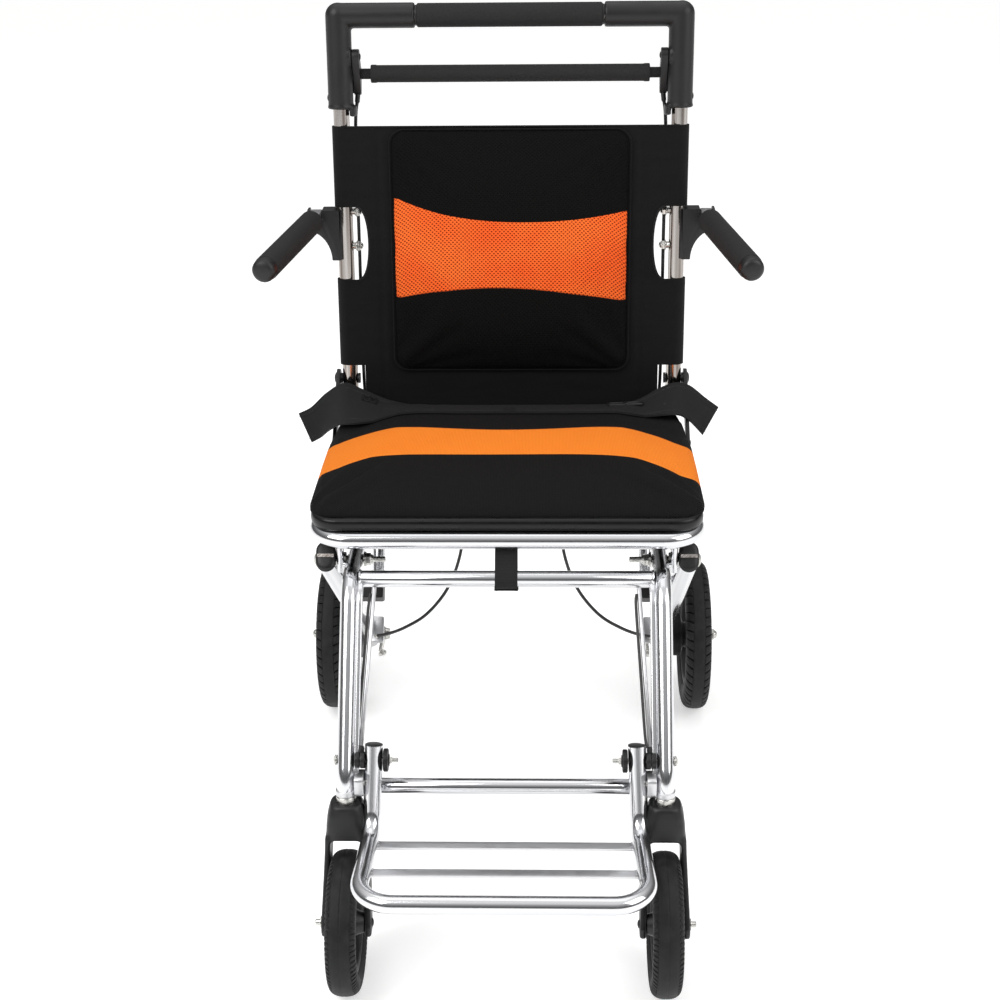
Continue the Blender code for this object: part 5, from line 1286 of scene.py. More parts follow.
def wheel_shells(centre, rim, half, hub, ends):
    """A moulded wheel centre: rim with lips, spokes and a stepped hub."""
    sizes = bpy.context.scene.chair_sizes
    wide = half * 0.74
    profile = [(-wide, rim), (-wide, rim - 0.003), (-wide + 0.002, rim - 0.0055),
               (0.0, rim - 0.007), (wide - 0.002, rim - 0.0055), (wide, rim - 0.003),
               (wide, rim)]
    shells = [turned(profile, centre, X_AXIS, "plastic", 96, closed=True, soft=0.0008)]
    low, high = ends
    step = (high - low) * 0.16
    profile = [(low, 0.0), (low, hub - 0.0035), (low + step, hub - 0.0015),
               (low + step * 1.4, hub), (high - step * 1.4, hub), (high - step, hub - 0.0015),
               (high, hub - 0.0035), (high, 0.0)]
    shells.append(turned(profile, centre, X_AXIS, "plastic", 64, soft=0.001))
    rings = []
    for z, deep, broad in ((hub - 0.004, 0.011, 0.017), (hub + 0.004, 0.0095, 0.0128),
                           ((hub + rim) / 2, 0.008, 0.01), (rim - 0.011, 0.0085, 0.0116),
                           (rim - 0.004, 0.011, 0.0165)):
        rings.append([Vector((a, b, z)) for a, b in box_section(deep, broad, 0.0024, 4)])
    shells.append(round_wheel(loft(rings, None), "plastic", sizes.spokes, centre, phase=0.18))
    return shells


def rear_wheels():
    """The fixed rear wheels: treaded tyre, spoked centre and brake drum."""
    sizes = bpy.context.scene.chair_sizes
    for side, sign in SIDES:
        centre = Vector((sign * REAR_X, REAR_Y, REAR_R))
        form = (REAR_R, REAR_RIM_R, REAR_HALF, 2.6)
        shells = [tyre_shell(centre, form, 0.44, sizes.tread_depth)]
        shells += tread(centre, form, 0.44, sizes.tread_count, 0.8, sizes.tread_depth, 0.34)
        build("solid_tyre_rear_" + side, shells, "rear_wheel_" + side, ["rear_tyre_" + side])

        drum_in = REAR_LEG_X + 0.0137 - REAR_X
        drum_out = drum_in + 0.013
        ends = sorted((sign * drum_out, sign * 0.0221))
        shells = wheel_shells(centre, REAR_RIM_R, REAR_HALF, 0.018, ends)
        drum = [(drum_in, 0.0055), (drum_in, 0.03), (drum_in + 0.003, 0.03),
                (drum_in + 0.0036, 0.0292), (drum_out + 0.002, 0.0292),
                (drum_out + 0.006, 0.017)]
        shells.append(turned_across(sign, drum, centre, "plastic", 64))
        build("wheel_rear_" + side, shells, "rear_wheel_" + side,
              ["rear_wheel_centre_" + side])


def rear_axles():
    """The fixed rear axles with the brake's backing plates and outer nuts."""
    for side, sign in SIDES:
        centre = Vector((0, REAR_Y, REAR_R))
        lever_out = LEG_IN - 0.006
        lever_in = lever_out - 0.0046
        nut = REAR_X + 0.0225
        axle = [(lever_in - 0.006, 0.0), (lever_in - 0.006, 0.007), (lever_in, 0.0085),
                (lever_in, 0.005), (lever_out, 0.005), (lever_out, 0.0085),
                (LEG_IN, 0.0085), (LEG_IN, 0.005), (nut, 0.005)]
        plate = [(LEG_OUT, 0.004), (LEG_OUT, 0.0315), (LEG_OUT + 0.001, 0.033),
                 (LEG_OUT + 0.003, 0.033), (LEG_OUT + 0.003, 0.004)]
        shells = [turned_across(sign, axle, centre, "steel", 48),
                  turned_across(sign, plate, centre, "plastic", 48)]
        shells.append(nuts([((sign * (nut - 0.0012), REAR_Y, REAR_R), (sign, 0, 0), 0.0076)]))
        build("axle_rear_" + side, shells, "rear_frame", ["rear_axle_" + side])


def brake_levers():
    """The small levers that the cables pull, each with its cable clamp."""
    for side, sign in SIDES:
        high = LEG_IN - 0.0063
        low = high - 0.004
        root, tip = (REAR_LEG_LONG, 0.0), (REAR_LEG_LONG - 0.048, -0.034)
        run = Vector((tip[0] - root[0], tip[1], 0)).normalized()
        square = Vector((-run.y, run.x, 0))
        outline = []
        for (along, above), radius, way in ((root, 0.01, -1), (tip, 0.005, 1)):
            for i in range(13):
                t = math.pi * i / 12
                spot = (Vector((along, above, 0)) + square * (way * math.cos(t)) * radius
                        + run * (way * math.sin(t)) * radius)
                place = on_leg(0, spot.x, spot.y)
                outline.append((place.y, place.z))
        shells = [prism(outline, side_on, sign * low, sign * high, "steel", 0.0007)]
        clamp = on_leg(sign * low, *tip)
        shells.append(nuts([(clamp, (-sign, 0, 0), 0.0042)]))
        build("lever_plate_" + side, shells, "brake_lever_" + side, ["brake_lever_" + side])


def fork_shell(x):
    """A moulded fork: a square-shouldered crown that runs into two arms over the wheel."""
    top, low = SOCKET_Z - 0.0073, 0.144
    rings = []
    for z, wide, deep, power in ((top, 0.0135, 0.013, 2.2), (top - 0.0008, 0.0165, 0.0155, 2.6),
                                 (top - 0.004, 0.0176, 0.0168, 3.0),
                                 (top - 0.011, 0.0196, 0.018, 3.8),
                                 (top - 0.022, 0.021, 0.019, 4.6),
                                 (top - 0.04, 0.0222, 0.0198, 5.0),
                                 (low, 0.0228, 0.0205, 5.0)):
        ring = []
        for i in range(48):
            a = 2 * math.pi * i / 48
            c, s = math.cos(a), math.sin(a)
            ring.append(Vector((x + wide * math.copysign(abs(c) ** (2 / power), c),
                                STEM_Y - (top - z) * 0.06
                                + deep * math.copysign(abs(s) ** (2 / power), s), z)))
        rings.append(ring)
    parts = [loft(rings, None)]
    for way in (-1, 1):
        rings = []
        for z, inner, outer, deep in ((0.165, 0.016, 0.0223, 0.019),
                                      (0.15, 0.0164, 0.0228, 0.0178),
                                      (0.12, 0.0174, 0.0244, 0.0152),
                                      (0.095, 0.0186, 0.0258, 0.013),
                                      (FRONT_R, 0.0193, 0.0266, 0.0122),
                                      (0.069, 0.0193, 0.0267, 0.012),
                                      (0.0645, 0.0193, 0.0264, 0.0108)):
            share = min(1.0, (0.165 - z) / (0.165 - FRONT_R))
            y = STEM_Y - 0.002 + (FRONT_Y - STEM_Y + 0.002) * share ** 1.25
            middle = x + way * (inner + outer) / 2
            section = box_section(outer - inner, deep * 2, 0.0022, 4)
            rings.append([Vector((middle + a, y + b, z)) for a, b in section])
        parts.append(loft(rings, None))
    whole = melted(parts, None, 0.0013, 4)
    fork = link("fork", mesh_of("fork", [whole]))
    room, half = FRONT_R + 0.0125, FRONT_HALF + 0.001
    outline = [(FRONT_Y + a, FRONT_R + b) for a, b in circle(room, 60)]
    slot = prism(outline, lambda a, b, h: Vector((x + h, a, b)), -half, half, None, 0.0075, 6)
    cutter = link("slot", mesh_of("slot", [slot]))
    cut = fork.modifiers.new("slot", "BOOLEAN")
    cut.object, cut.solver = cutter, "EXACT"
    shell = taken(fork, None)
    bpy.data.objects.remove(cutter)
    return melted([shell], "plastic", 0.0011, 4)


def casters():
    """The swivelling forks, their wheels and bolts."""
    sizes = bpy.context.scene.chair_sizes
    for side, sign in SIDES:
        x = sign * FRONT_X
        inner = FRONT_HALF + 0.0033
        outer = inner + 0.007
        top = SOCKET_Z - GAP
        boss = top - 0.007
        stem = Vector((x, STEM_Y, 0))
        shells = [fork_shell(x)]
        collar = [(boss - 0.001, 0.0), (boss - 0.001, 0.01), (boss, 0.0105),
                  (top - 0.0008, 0.0105), (top, 0.0098), (top, 0.0)]
        shells.append(turned(collar, stem, Z_AXIS, "steel", 40))
        shells.append(turned([(top - 0.001, 0.0), (top - 0.001, 0.004), (top + 0.018, 0.004),
                              (top + 0.018, 0.0)], stem, Z_AXIS, "steel", 24))
        build("fork_" + side, shells, "caster_" + side, ["caster_fork_" + side])

        centre = Vector((x, FRONT_Y, FRONT_R))
        head = outer + GAP
        axle = [(-head, 0.0), (-head, 0.003), (head, 0.003), (head, 0.0062),
                (head + 0.0012, 0.0062), (head + 0.0012, 0.0031), (head + 0.0062, 0.0031),
                (head + 0.0068, 0.0024), (head + 0.0068, 0.0)]
        shells = [turned_across(sign, axle, centre, "steel", 24)]
        shells.append(rivets([(centre - X_AXIS * sign * head, (-sign, 0, 0), 0.0048)],
                             "plastic"))
        build("axle_front_" + side, shells, "caster_" + side, ["front_axle_" + side])

        form = (FRONT_R, FRONT_RIM_R, FRONT_HALF, 2.4)
        shells = [tyre_shell(centre, form, 0.66, sizes.notch_depth, 0.0004)]
        shells += tread(centre, form, 0.66, sizes.notch_count, 0.58, sizes.notch_depth, 0.0)
        build("solid_tyre_front_" + side, shells, "front_wheel_" + side,
              ["front_tyre_" + side])
        hub = FRONT_HALF + 0.003
        build("wheel_front_" + side,
              wheel_shells(centre, FRONT_RIM_R, FRONT_HALF, 0.014, (-hub, hub)),
              "front_wheel_" + side, ["front_wheel_centre_" + side])


# Handle, brake bar and arms

def push_tube():
    """The bent tube that makes both posts and the handle."""
    foot, top = on_post(POST_X, 0.4615), on_post(POST_X, HANDLE_Z)
    corners = [(-foot.x, foot.y, foot.z), (-top.x, top.y, top.z), tuple(top), tuple(foot)]
    path = rounded(corners, (0.018, 0.018), 10)
    shells = [sweep(path, circle(TUBE_R, 40), "dull_alloy")]
    for sign in (-1, 1):
        place = Vector((sign * foot.x, foot.y, foot.z))
        shells.append(end_cap(place, (on_post(0, 0.4) - on_post(0, 0.5)), TUBE_R, 0.0016))
    build("post_tube", shells, "backrest", ["push_tube"])


def handle():
    """The moulded corner covers and the middle grip."""
    corner = on_post(0, HANDLE_Z)
    lean = (on_post(0, 0.9) - on_post(0, 0.8)).normalized()
    for side, sign in SIDES:
        x = sign * POST_X
        top = Vector((x, corner.y, corner.z))
        foot = on_post(x, 0.829)
        r = 0.015
        parts = [rod(foot, top, r, None, 40, soft=0.001),
                 rod(top - X_AXIS * sign * 0.0004, corner + X_AXIS * sign * 0.1113, 0.0146, None,
                     40, soft=0.001)]
        lip = [(-sign * a, b) for a, b in arc(0, 0, 0.019, -36, 72, 8)
               + arc(0, 0, 0.0128, 36, -72, 8)]
        parts.append(sweep([foot + lean * 0.004, foot - lean * 0.0085], lip, None, X_AXIS))
        dome = [(-r, 0.0)] + [(r * math.sin(math.radians(a)), r * math.cos(math.radians(a)))
                              for a in range(-80, 81, 10)] + [(r, 0.0)]
        parts.append(turned(dome, top, X_AXIS, None, 40, soft=0))
        rim = 0.0157
        parts.append(turned([(-0.002, 0.0), (-0.002, rim - 0.0006), (-0.0008, rim),
                             (0.0008, rim), (0.002, rim - 0.0006), (0.002, 0.0)],
                            foot + lean * 0.0022, lean, None, 40, soft=0))
        boss_x = POST_X - 0.0118
        pivot = on_post(0, BRAKE_PIVOT_Z)
        boss = [(-0.004, 0.0), (-0.004, 0.0115), (0.0016, 0.0115), (0.003, 0.01),
                (0.003, 0.0)]
        parts.append(turned_across(-sign, boss, pivot + X_AXIS * sign * boss_x, None, 32, 0))
        shells = [melted(parts, "plastic", 0.0012, 6)]
        shells.append(turned_across(sign, [(boss_x, 0.004), (BRAKE_ARM_IN, 0.004)], pivot,
                                    "steel", 24, 0))
        button = on_post(sign * (POST_X + 0.0142), 0.842)
        shells.append(rivets([(button, (sign, 0, 0), 0.0042)], "plastic"))
        build("corner_cover_" + side, shells, "backrest", ["handle_elbow_" + side])

    half, r = 0.109, 0.0138
    profile = [(-half, 0.0098), (-half, r - 0.0015), (-half + 0.0015, r), (half - 0.0015, r),
               (half, r - 0.0015), (half, 0.0098)]
    ring = turned(profile, corner, X_AXIS, "foam", 64, closed=True, soft=0.0015)
    neck = [(-0.111, 0.0098), (-0.111, 0.0118), (0.111, 0.0118), (0.111, 0.0098)]
    sleeve = turned(neck, corner, X_AXIS, "plastic", 48, closed=True)
    build("middle_grip", [ring, sleeve], "backrest", ["handle_grip"])


def brake_bar():
    """The squeeze bar between the posts, with its moulded arms."""
    y = post_y(BRAKE_BAR_Z) + 0.012
    centre = Vector((0, y, BRAKE_BAR_Z))
    end, half = BRAKE_ARM_IN + 0.001, 0.1658
    side = [(half - 0.0075, 0.0101), (half - 0.006, 0.0106), (half, 0.0106), (half, 0.0062),
            (end, 0.0062), (end, 0)]
    profile = [(-x, r) for x, r in side[::-1]] + side
    shells = [turned(profile, centre, X_AXIS, "foam", 48, soft=0.001)]
    pivot_y = post_y(BRAKE_PIVOT_Z)
    outline = arc(pivot_y, BRAKE_PIVOT_Z, 0.0088, 180, -180, 12)
    outline += [(y + 0.0098, BRAKE_BAR_Z + 0.004), (y + 0.0088, BRAKE_BAR_Z - 0.008),
                (y + 0.003, TAIL_Z), (y - 0.004, TAIL_Z), (y - 0.0088, BRAKE_BAR_Z - 0.009)]
    web = [(y - 0.0015, BRAKE_BAR_Z + 0.007), (y + 0.0098, BRAKE_BAR_Z + 0.004),
           (y + 0.0088, BRAKE_BAR_Z - 0.008), (y + 0.003, TAIL_Z + 0.002),
           (y - 0.0015, TAIL_Z + 0.002)]
    for sign in (-1, 1):
        shells.append(prism(fillet(outline, 0.004, 3), side_on, sign * BRAKE_ARM_IN,
                            sign * BRAKE_ARM_OUT, "plastic", 0.0014, 3))
        shells.append(prism(web, side_on, sign * (BRAKE_ARM_OUT - 0.0004),
                            sign * (BRAKE_ARM_OUT + 0.003), "plastic"))
        pivot = (sign * BRAKE_ARM_IN, pivot_y, BRAKE_PIVOT_Z)
        shells.append(rivets([(pivot, (-sign, 0, 0), 0.004)], "plastic"))
    build("squeeze_bar", shells, "brake_bar", ["brake_bar"])


def arm_brackets():
    """The moulded brackets on the posts, bolted through with domed nuts inside."""
    for side, sign in SIDES:
        low_z, high_z = ARM_Z - 0.054, ARM_Z + 0.0082
        mid = post_y((low_z + high_z) / 2)
        low, high = mid - 0.011, mid + 0.011
        seat = ARM_Z - 0.0068
        ear_in, ear_out = ARM_X - 0.0103, ARM_X + 0.0103
        inner, foot, hip = POST_X + 0.006, POST_X + 0.0164, seat - 0.011
        outline = [(inner, low_z), (foot, low_z)]
        for i in range(1, 12):
            a = math.pi / 2 * i / 12
            outline.append((foot + (ear_out - foot) * (1 - math.cos(a)),
                            low_z + (hip - low_z) * math.sin(a)))
        outline += [(ear_out, hip), (ear_out, seat), (ear_in + 0.003, seat),
                    (ear_in + 0.003, high_z), (inner, high_z)]
        outline = [(sign * a, b) for a, b in fillet(outline, 0.0012, 2)]
        shells = [prism(outline, end_on, low, high, "plastic", 0.001)]
        flank = [(high, seat - 0.004), (high, high_z), (low, high_z), (low, seat - 0.004)]
        shells.append(prism(fillet(flank, 0.006, 4), side_on, sign * ear_out,
                            sign * (ear_out - 0.003), "plastic", 0.0008))
        run = [on_post(sign * POST_X, low_z + 0.001), on_post(sign * POST_X, high_z - 0.001)]
        clasp = [(sign * a, b) for a, b in arc(0, 0, 0.0118, -72, 144, 12)
                 + arc(0, 0, 0.0097, 72, -144, 12)]
        shells.append(sweep(run, clasp, "plastic", X_AXIS))
        spots = []
        for z in (ARM_Z - 0.038, ARM_Z + 0.004):
            spot = on_post(sign * (POST_X - TUBE_R - 0.0036), z)
            spots.append((spot, (-sign, 0, 0), 0.0056))
            shells.append(rod(on_post(sign * (POST_X + TUBE_R + 0.003), z),
                              on_post(sign * (POST_X - TUBE_R - 0.0038), z), 0.0042,
                              "steel", 20))
        shells.append(nuts(spots))
        pin = on_post(0, ARM_Z)
        shells.append(rod(pin + X_AXIS * sign * (ear_in + 0.001),
                          pin + X_AXIS * sign * (ear_out - 0.001), 0.003, "steel", 20))
        shells.append(rivets([(pin + X_AXIS * sign * ear_out, (sign, 0, 0), 0.0048)]))
        build("arm_mount_" + side, shells, "backrest", ["arm_bracket_" + side])


def armrests():
    """The flip-up arms: a bright tongue and a foam grip with a moulded cap."""
    for side, sign in SIDES:
        pivot = on_post(sign * ARM_X, ARM_Z)
        out = Vector((sign * math.sin(ARM_SPLAY), -math.cos(ARM_SPLAY) * math.cos(ARM_DROOP),
                      -math.sin(ARM_DROOP)))
        thick = 0.0065
        outline = [(pivot.y - 0.029, pivot.z + thick), (pivot.y - 0.029, pivot.z - thick)]
        outline += arc(pivot.y, pivot.z, thick, -90, 180, 12)
        shells = [prism(outline, side_on, pivot.x - 0.007, pivot.x + 0.007, "cast",
                        0.0018, 3)]
        root = pivot - Y_AXIS * 0.023
        shells.append(rod(root, root + out * 0.15, 0.007, "alloy", 32))
        build("arm_tongue_" + side, shells, "armrest_" + side, ["armrest_bar_" + side])

        r, start, long = 0.0142, root + out * 0.0105, 0.193
        profile = [(0.0, 0.0074), (0.0, r - 0.002), (0.002, r), (long - 0.014, r),
                   (long - 0.014, 0.0074)]
        shells = [turned(profile, start, out, "foam", 56, closed=True, soft=0.0012)]
        cap = [(long - 0.015, 0.0), (long - 0.015, r - 0.0006), (long - 0.007, r - 0.0008)]
        cap += [(long - 0.007 + 0.007 * math.sin(math.radians(a)),
                 (r - 0.0008) * math.cos(math.radians(a)) ** 0.6) for a in range(15, 90, 15)]
        shells.append(turned(cap + [(long, 0.0)], start, out, "plastic", 56, soft=0))
        build("arm_foam_" + side, shells, "armrest_" + side, ["armrest_grip_" + side])


# Soft goods

def seat_half(y, front, rear):
    """Half the seat's width at a place along it. The rear is narrower."""
    share = min(1.0, max(0.0, (y - FRONT_Y - 0.3) / 0.217))
    return front - (front - rear) * share * share


def filled(node, mat, voxel):
    """A soft solid re-meshed evenly and filled by a cloth simulation."""
    sizes = bpy.context.scene.chair_sizes
    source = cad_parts[node]
    mesh = source.data.copy()
    mesh.transform(source.matrix_world)
    mesh.materials.clear()
    bm = bmesh.new()
    bm.from_mesh(mesh)
    bmesh.ops.remove_doubles(bm, verts=bm.verts, dist=0.0001)
    bmesh.ops.recalc_face_normals(bm, faces=bm.faces)
    bm.to_mesh(mesh)
    bm.free()
    obj = link("filling", mesh)
    obj.modifiers.new("even", "REMESH").voxel_size = voxel
    obj.modifiers.new("soft", "SMOOTH").iterations = 3
    shell = taken(obj, mat)
    obj = link("filling", mesh_of("filling", [shell]))
    rest = [v.co.copy() for v in obj.data.vertices]
    hold = obj.vertex_groups.new(name="hold")
    for v in obj.data.vertices:
        if v.normal.z < -0.5 if node == "seat_cushion" else v.normal.y > 0.5:
            hold.add([v.index], 1.0, "REPLACE")
    cloth = obj.modifiers.new("cloth", "CLOTH")
    rules = cloth.settings
    rules.vertex_group_mass, rules.use_pressure = "hold", True
    rules.uniform_pressure_force = sizes.puff
    rules.mass, rules.quality = 0.3, 5
    rules.tension_stiffness, rules.compression_stiffness = 20, 12
    rules.shear_stiffness, rules.bending_stiffness = 8, 0.4
    rules.effector_weights.gravity = 0
    cloth.point_cache.frame_end = 20
    for step in range(1, 21):
        bpy.context.scene.frame_set(step)
    full = taken(obj, mat)
    bpy.context.scene.frame_set(1)
    for i, place in enumerate(rest):
        move = full["v"][i] - place
        if move.length > sizes.puff_limit:
            move = move.normalized() * sizes.puff_limit
        full["v"][i] = place + move
    shell = full
    obj = link("filling", mesh_of("filling", [shell]))
    obj.modifiers.new("soft", "SMOOTH").iterations = 2
    obj.modifiers.new("fine", "SUBSURF").levels = 1
    return taken(obj, mat)


def back_pad():
    """The crowned mesh pad on the back, piped round its edge."""
    path = [on_post(x, z, 0.0153)
            for x, z in oblong(-PAD_HALF, PAD_HALF, PAD_LOW, PAD_HIGH, 0.017, 10)]
    shells = [filled("back_pad", "pad_mesh", 0.0045),
              sweep(path, circle(0.0009, 10), "nylon", Y_AXIS, True)]
    obj = build("pad_cover", shells, "backrest", ["back_pad"], 60)


def sheet_line(out):
    """Half way round the left post, across the back and half way round the right one."""
    count = 120
    left = arc(-POST_X, 0, out, 290, -200, 16)
    turn = [(-x, ahead) for x, ahead in left[::-1]]
    return left + [(-POST_X + 2 * POST_X * i / count, out) for i in range(1, count)] + turn


def sheet_place(x, z, ahead):
    """Where the sheet lies: rumpled between the posts, with a seam beside each of them."""
    loose = max(0.0, 1 - abs(x) / (POST_X - 0.004))
    flat = min(1.0, max(0.0, (POST_X - abs(x)) / 0.03))
    wave = rumple.noise(Vector((x * 22, z * 9, 3.7))) * 0.0012
    seam = -0.001 * math.exp(-((abs(x) - 0.1585) / 0.0016) ** 2)
    return on_post(x, z, ahead + (wave * min(1, loose * 6) + seam) * flat)


def sheet_opening(sign):
    """The curved inner edge of a side cut-out, from its top to its foot."""
    mid, tall = (CUT_LOW + CUT_HIGH) / 2, (CUT_HIGH - CUT_LOW) / 2
    root = POST_X - 0.013
    turns = [math.pi * (0.5 - i / 40) for i in range(41)]
    return [(sign * (root - (root - CUT_IN) * abs(math.cos(a)) ** 0.7), mid + tall * math.sin(a))
            for a in turns]


def back_sheet():
    """The nylon back: one sheet folded round both posts, cut away beside the pad."""
    thick, rows = 0.0014, 110
    out = TUBE_R + 0.001 + thick / 2
    line = sheet_line(out)
    wide = len(line)
    heights = [CLOTH_FOOT + (CLOTH_TOP - CLOTH_FOOT) * k / rows for k in range(rows + 1)]
    points = [sheet_place(x, z, ahead) for z in heights for x, ahead in line]
    faces = []
    for k in range(rows):
        z = (points[k * wide].z + points[(k + 1) * wide].z) / 2
        for i in range(wide - 1):
            x = (line[i][0] + line[i + 1][0]) / 2
            if z >= SLEEVE_FOOT or abs(x) <= 0.183:
                a, b = k * wide + i, (k + 1) * wide + i
                faces.append((a, a + 1, b + 1, b))
    bm = bmesh_of(points, faces)
    bmesh.ops.delete(bm, geom=[v for v in bm.verts if not v.link_faces], context="VERTS")
    sheet = link("sheet", mesh_of("sheet", [shell_of(bm, "nylon")]))
    solid = sheet.modifiers.new("thick", "SOLIDIFY")
    solid.thickness, solid.offset = thick, 0.0
    cutters, hems = [], []
    for sign in (-1, 1):
        edge = sheet_opening(sign)
        side = sign * (POST_X + 0.022)
        shape = [(side, CUT_LOW), (side, CUT_HIGH)] + edge
        rings = [[on_post(x, z, h) for x, z in shape] for h in (-0.03, 0.03)]
        cutter = link("cutter", mesh_of("cutter", [loft(rings, None)]))
        cut = sheet.modifiers.new("cut", "BOOLEAN")
        cut.object, cut.solver = cutter, "EXACT"
        cutters.append(cutter)
        hem = [on_post(x, z, out) for x, z in edge[1:-1]]
        hems.append(sweep(hem, circle(0.0014, 10), "webbing"))
    shells = [taken(sheet, "nylon"), *hems]
    for cutter in cutters:
        bpy.data.objects.remove(cutter)
    top = [on_post(-POST_X + 2 * POST_X * i / 60, CLOTH_TOP - 0.0008, out) for i in range(61)]
    shells.append(sweep(top, circle(0.0015, 10), "nylon"))
    obj = build("back_cloth", shells, "backrest", ["back_upholstery"], 60)


def seat_outline(inset):
    """The seat's plan: an oblong with round corners whose sides draw in to the rear."""
    front, rear = SEAT_FRONT + inset, FRONT_Y + 0.517 - inset
    radius, rows = 0.032 - inset, 24
    low, high = front + radius, rear - radius
    edge = arc(-radius, low, radius, -90, 90, 10)
    edge += [(0, low + (high - low) * i / rows) for i in range(1, rows)]
    edge += arc(-radius, high, radius, 0, 90, 10)
    right = [(seat_half(y, 0.2135 - inset, 0.207 - inset) + x, y) for x, y in edge]
    return right + [(-x, y) for x, y in right[::-1]]


def seat():
    """The vinyl-faced board and the filled mesh cushion on it."""
    rings = [[(x, y, BASE_Z + z) for x, y in seat_outline(inset)] for z, inset in
             ((-0.0018, 0.006), (-0.0012, 0.0035), (0.0006, 0.0014), (0.0025, 0.0004),
              (0.0068, 0.0), (0.011, 0.0004), (0.0128, 0.0018), (0.0137, 0.0045))]
    build("vinyl_board", [loft(rings, "vinyl")], "chassis", ["seat_base"], 50)

    shell = filled("seat_cushion", "seat_mesh", 0.005)
    # the cushion's sides reach down past the board's upper edge
    edge = CUSHION_Z + 0.012
    for point in shell["v"]:
        if point.z < edge:
            point.z = edge - (edge - point.z) * 1.62
    obj = build("cushion_cover", [shell], "chassis", ["seat_cushion"], 60)


def pull_strap():
    """The webbing that hangs behind the seat's front tube and loops the upper crossbar."""
    root = Vector((0, SEAT_FRONT + TUBE_R + 0.0062, BASE_Z - 0.0004))
    run = (root - CROSS).normalized()
    side = Vector((0, -run.z, run.y))
    radius = CROSSBAR_R + 0.0013
    front = [root - side * 0.0012, root.lerp(CROSS, 0.45) - side * 0.003]
    loop = [CROSS - side * math.cos(t) * radius - run * math.sin(t) * radius
            for t in [math.pi * (i / 14 - 0.12) / 0.88 for i in range(2, 17)]]
    rear = [root.lerp(CROSS, 0.45) + side * 0.004, root + side * 0.0016]
    path = smooth_route(front + loop[::2] + rear, 4)
    # the free end, sewn down over the loop
    patch = [CROSS - side * a - run * b for a, b in arc(0, 0, radius + 0.0019, -35, 130, 13)]
    shells = [sweep(path, box_section(0.0245, 0.0018, 0.0007, 2), "webbing", X_AXIS),
              sweep(patch, box_section(0.0262, 0.0016, 0.0006, 2), "webbing", X_AXIS)]
    for dx in (-0.0105, 0.0105):
        shells.append(stitches([p + X_AXIS * dx + (p - CROSS).normalized() * 0.0009
                                for p in patch]))
    build("strap_loop", shells, "chassis", ["pull_strap"])


def ribbon(tops, lows, thick, mat, ground):
    """A strap between two edge curves, laid over what is below it. Returns it and its rows."""
    rails, middle = 8, 4

    def laid(point):
        hit = ground.ray_cast(Vector((point.x, point.y, 1)), -Z_AXIS)[0]
        return Vector((point.x, point.y, max(point.z, hit.z + thick if hit else 0)))

    rows = [[laid(a.lerp(b, i / rails)) for i in range(rails + 1)]
            for a, b in zip(smooth_route(tops, 8), smooth_route(lows, 8))]
    rings = []
    for k, row in enumerate(rows):
        run = rows[min(k + 1, len(rows) - 1)][middle] - rows[max(k - 1, 0)][middle]
        out = run.cross(row[0] - row[-1]).normalized() * thick / 2
        rings.append([p + out for p in row] + [p - out for p in row[::-1]])
    return loft(rings, mat), rows


def buckle(place, run, across, long, wide):
    """A small slider on a strap: a frame with a bar across."""
    out = run.cross(across).normalized()

    def bar(u0, u1, v0, v1, thick=0.0028):
        ring = [(u0, v0), (u1, v0), (u1, v1), (u0, v1)]
        rings = [[place + run * u + across * v + out * h for u, v in ring]
                 for h in (-thick / 2, thick / 2)]
        return bevelled(loft(rings, "plastic"), 0.0006)

    a, b, t = long / 2, wide / 2, 0.003
    return [bar(-a, -a + t, -b, b), bar(a - t, a, -b, b), bar(-a, a, -b, -b + t),
            bar(-a, a, b - t, b), bar(-t * 0.6, t * 0.6, -b, b, 0.0036)]


